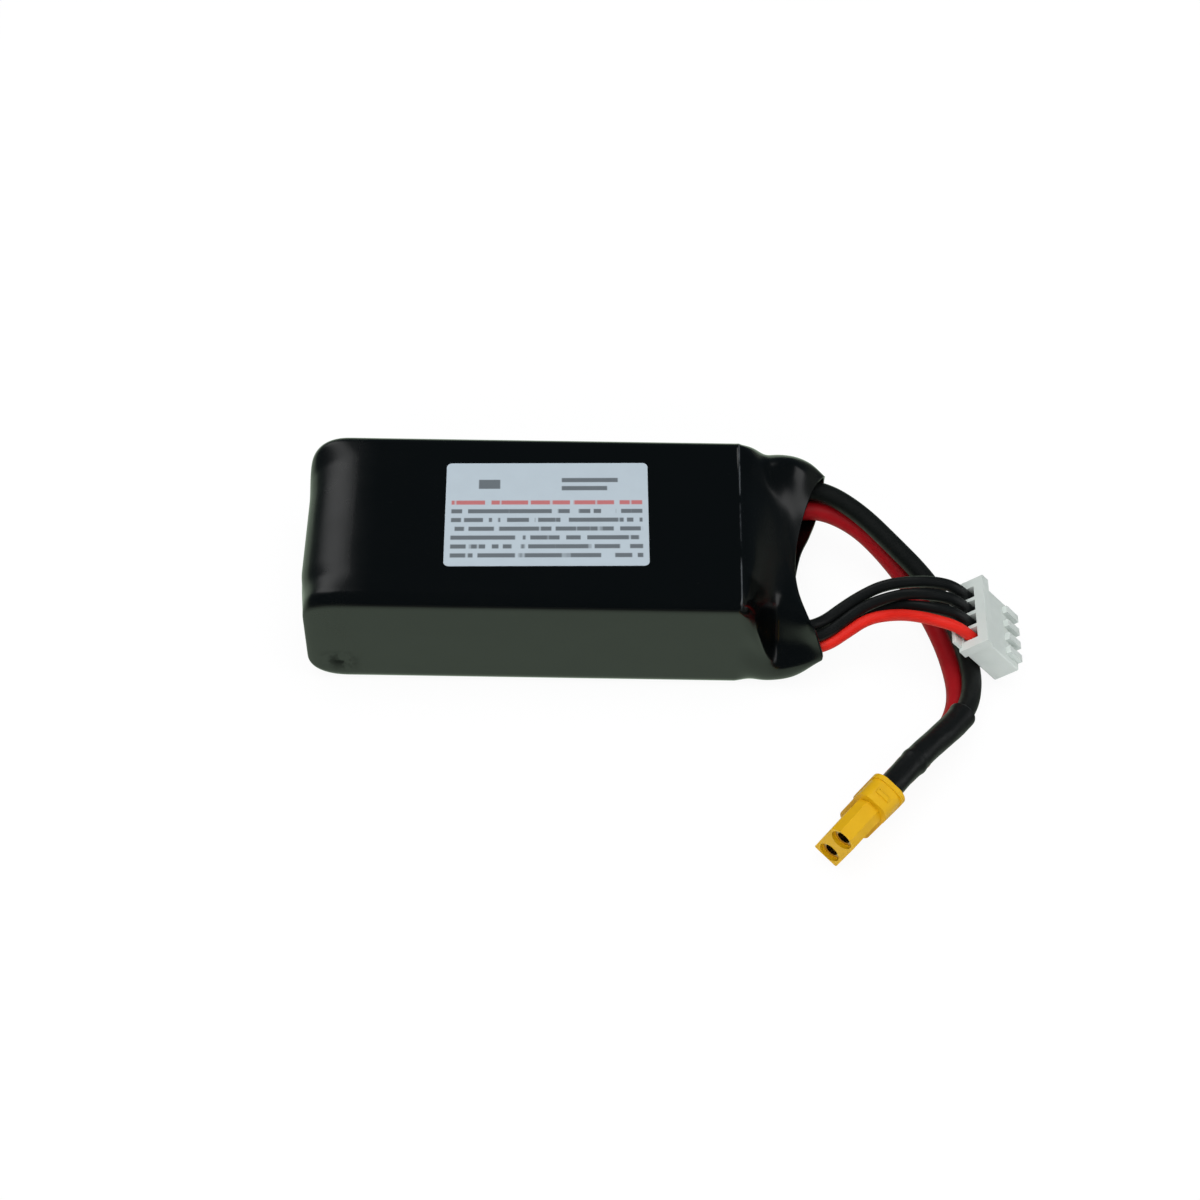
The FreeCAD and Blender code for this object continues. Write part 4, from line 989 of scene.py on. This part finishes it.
def make_floor():
    """A white floor that shows as plain white and keeps a faint shadow."""
    material = bpy.data.materials.new("floor_white")
    material.use_nodes = True
    net = Shading(material.node_tree)
    net.nodes.clear()
    rays = net.nodes.new("ShaderNodeLightPath").outputs
    mirrored = rays["Is Glossy Ray"]
    seen = net.math("ADD", rays["Is Camera Ray"], rays["Is Transmission Ray"], clamp=True)
    brightness = net.math("ADD", seen, net.product(mirrored, floor_shade(net)), clamp=True)
    tint = net.mix(mirrored, WHITE, FLOOR_TINT)
    glow = net.add("ShaderNodeEmission", {"Color": tint, "Strength": brightness})
    matt = net.add("ShaderNodeBsdfDiffuse", {"Color": FLOOR_PAINT})
    glowing = net.product(net.math("ADD", seen, mirrored, clamp=True), FLOOR_GLOW)
    output = net.nodes.new("ShaderNodeOutputMaterial")
    net.give(output.inputs["Surface"], net.mix_shaders(glowing, matt, glow))
    mesh = bpy.data.meshes.new("floor")
    corners = [(x * FLOOR_HALF, y * FLOOR_HALF, FLOOR_Z)
               for x, y in ((-1, -1), (1, -1), (1, 1), (-1, 1))]
    mesh.from_pydata(corners, [], [(0, 1, 2, 3)])
    mesh.materials.append(material)
    floor = bpy.data.objects.new("floor", mesh)
    scene.collection.objects.link(floor)


def make_world():
    """White behind everything that the camera sees, and a dim room for everything else."""
    world = bpy.data.worlds.new("room")
    world.use_nodes = True
    net = Shading(world.node_tree)
    net.nodes.clear()
    rays = net.nodes.new("ShaderNodeLightPath").outputs
    room = net.add("ShaderNodeBackground", {"Color": ROOM_COLOUR})
    white = net.add("ShaderNodeBackground", {"Color": WHITE})
    output = net.nodes.new("ShaderNodeOutputWorld")
    net.give(output.inputs["Surface"], net.mix_shaders(rays["Is Camera Ray"], room, white))
    scene.world = world


make_floor()
make_world()

# ---- lamps -------------------------------------------------------------------------------
# Places and sizes in metres, power in watts, and whether gloss shows the lamp.
Lamp = namedtuple("Lamp", "name place size power shows_in_gloss")
LAMPS = [
    Lamp("overhead", (0.05, -0.1, 1.0), (1.2, 1.2), 12.5, False),
    Lamp("front_fill", (-0.3, -0.9, 0.5), (0.9, 0.6), 4.5, False),
    Lamp("left_softbox", (-0.48, 0.66, 0.66), (0.34, 0.80), 1.1, True),
    Lamp("right_softbox", (0.90, -0.06, 0.36), (0.74, 0.46), 1.2, True),
]


def make_lamp(lamp):
    """A soft rectangular lamp aimed at the pack."""
    data = bpy.data.lights.new(lamp.name, "AREA")
    data.shape = "RECTANGLE"
    data.size, data.size_y = lamp.size
    data.energy = lamp.power
    thing = bpy.data.objects.new(lamp.name, data)
    scene.collection.objects.link(thing)
    thing.location = lamp.place
    thing.rotation_euler = (-Vector(lamp.place)).to_track_quat("-Z", "Y").to_euler()
    thing.visible_glossy = lamp.shows_in_gloss
    thing.visible_camera = False


for lamp in LAMPS:
    make_lamp(lamp)
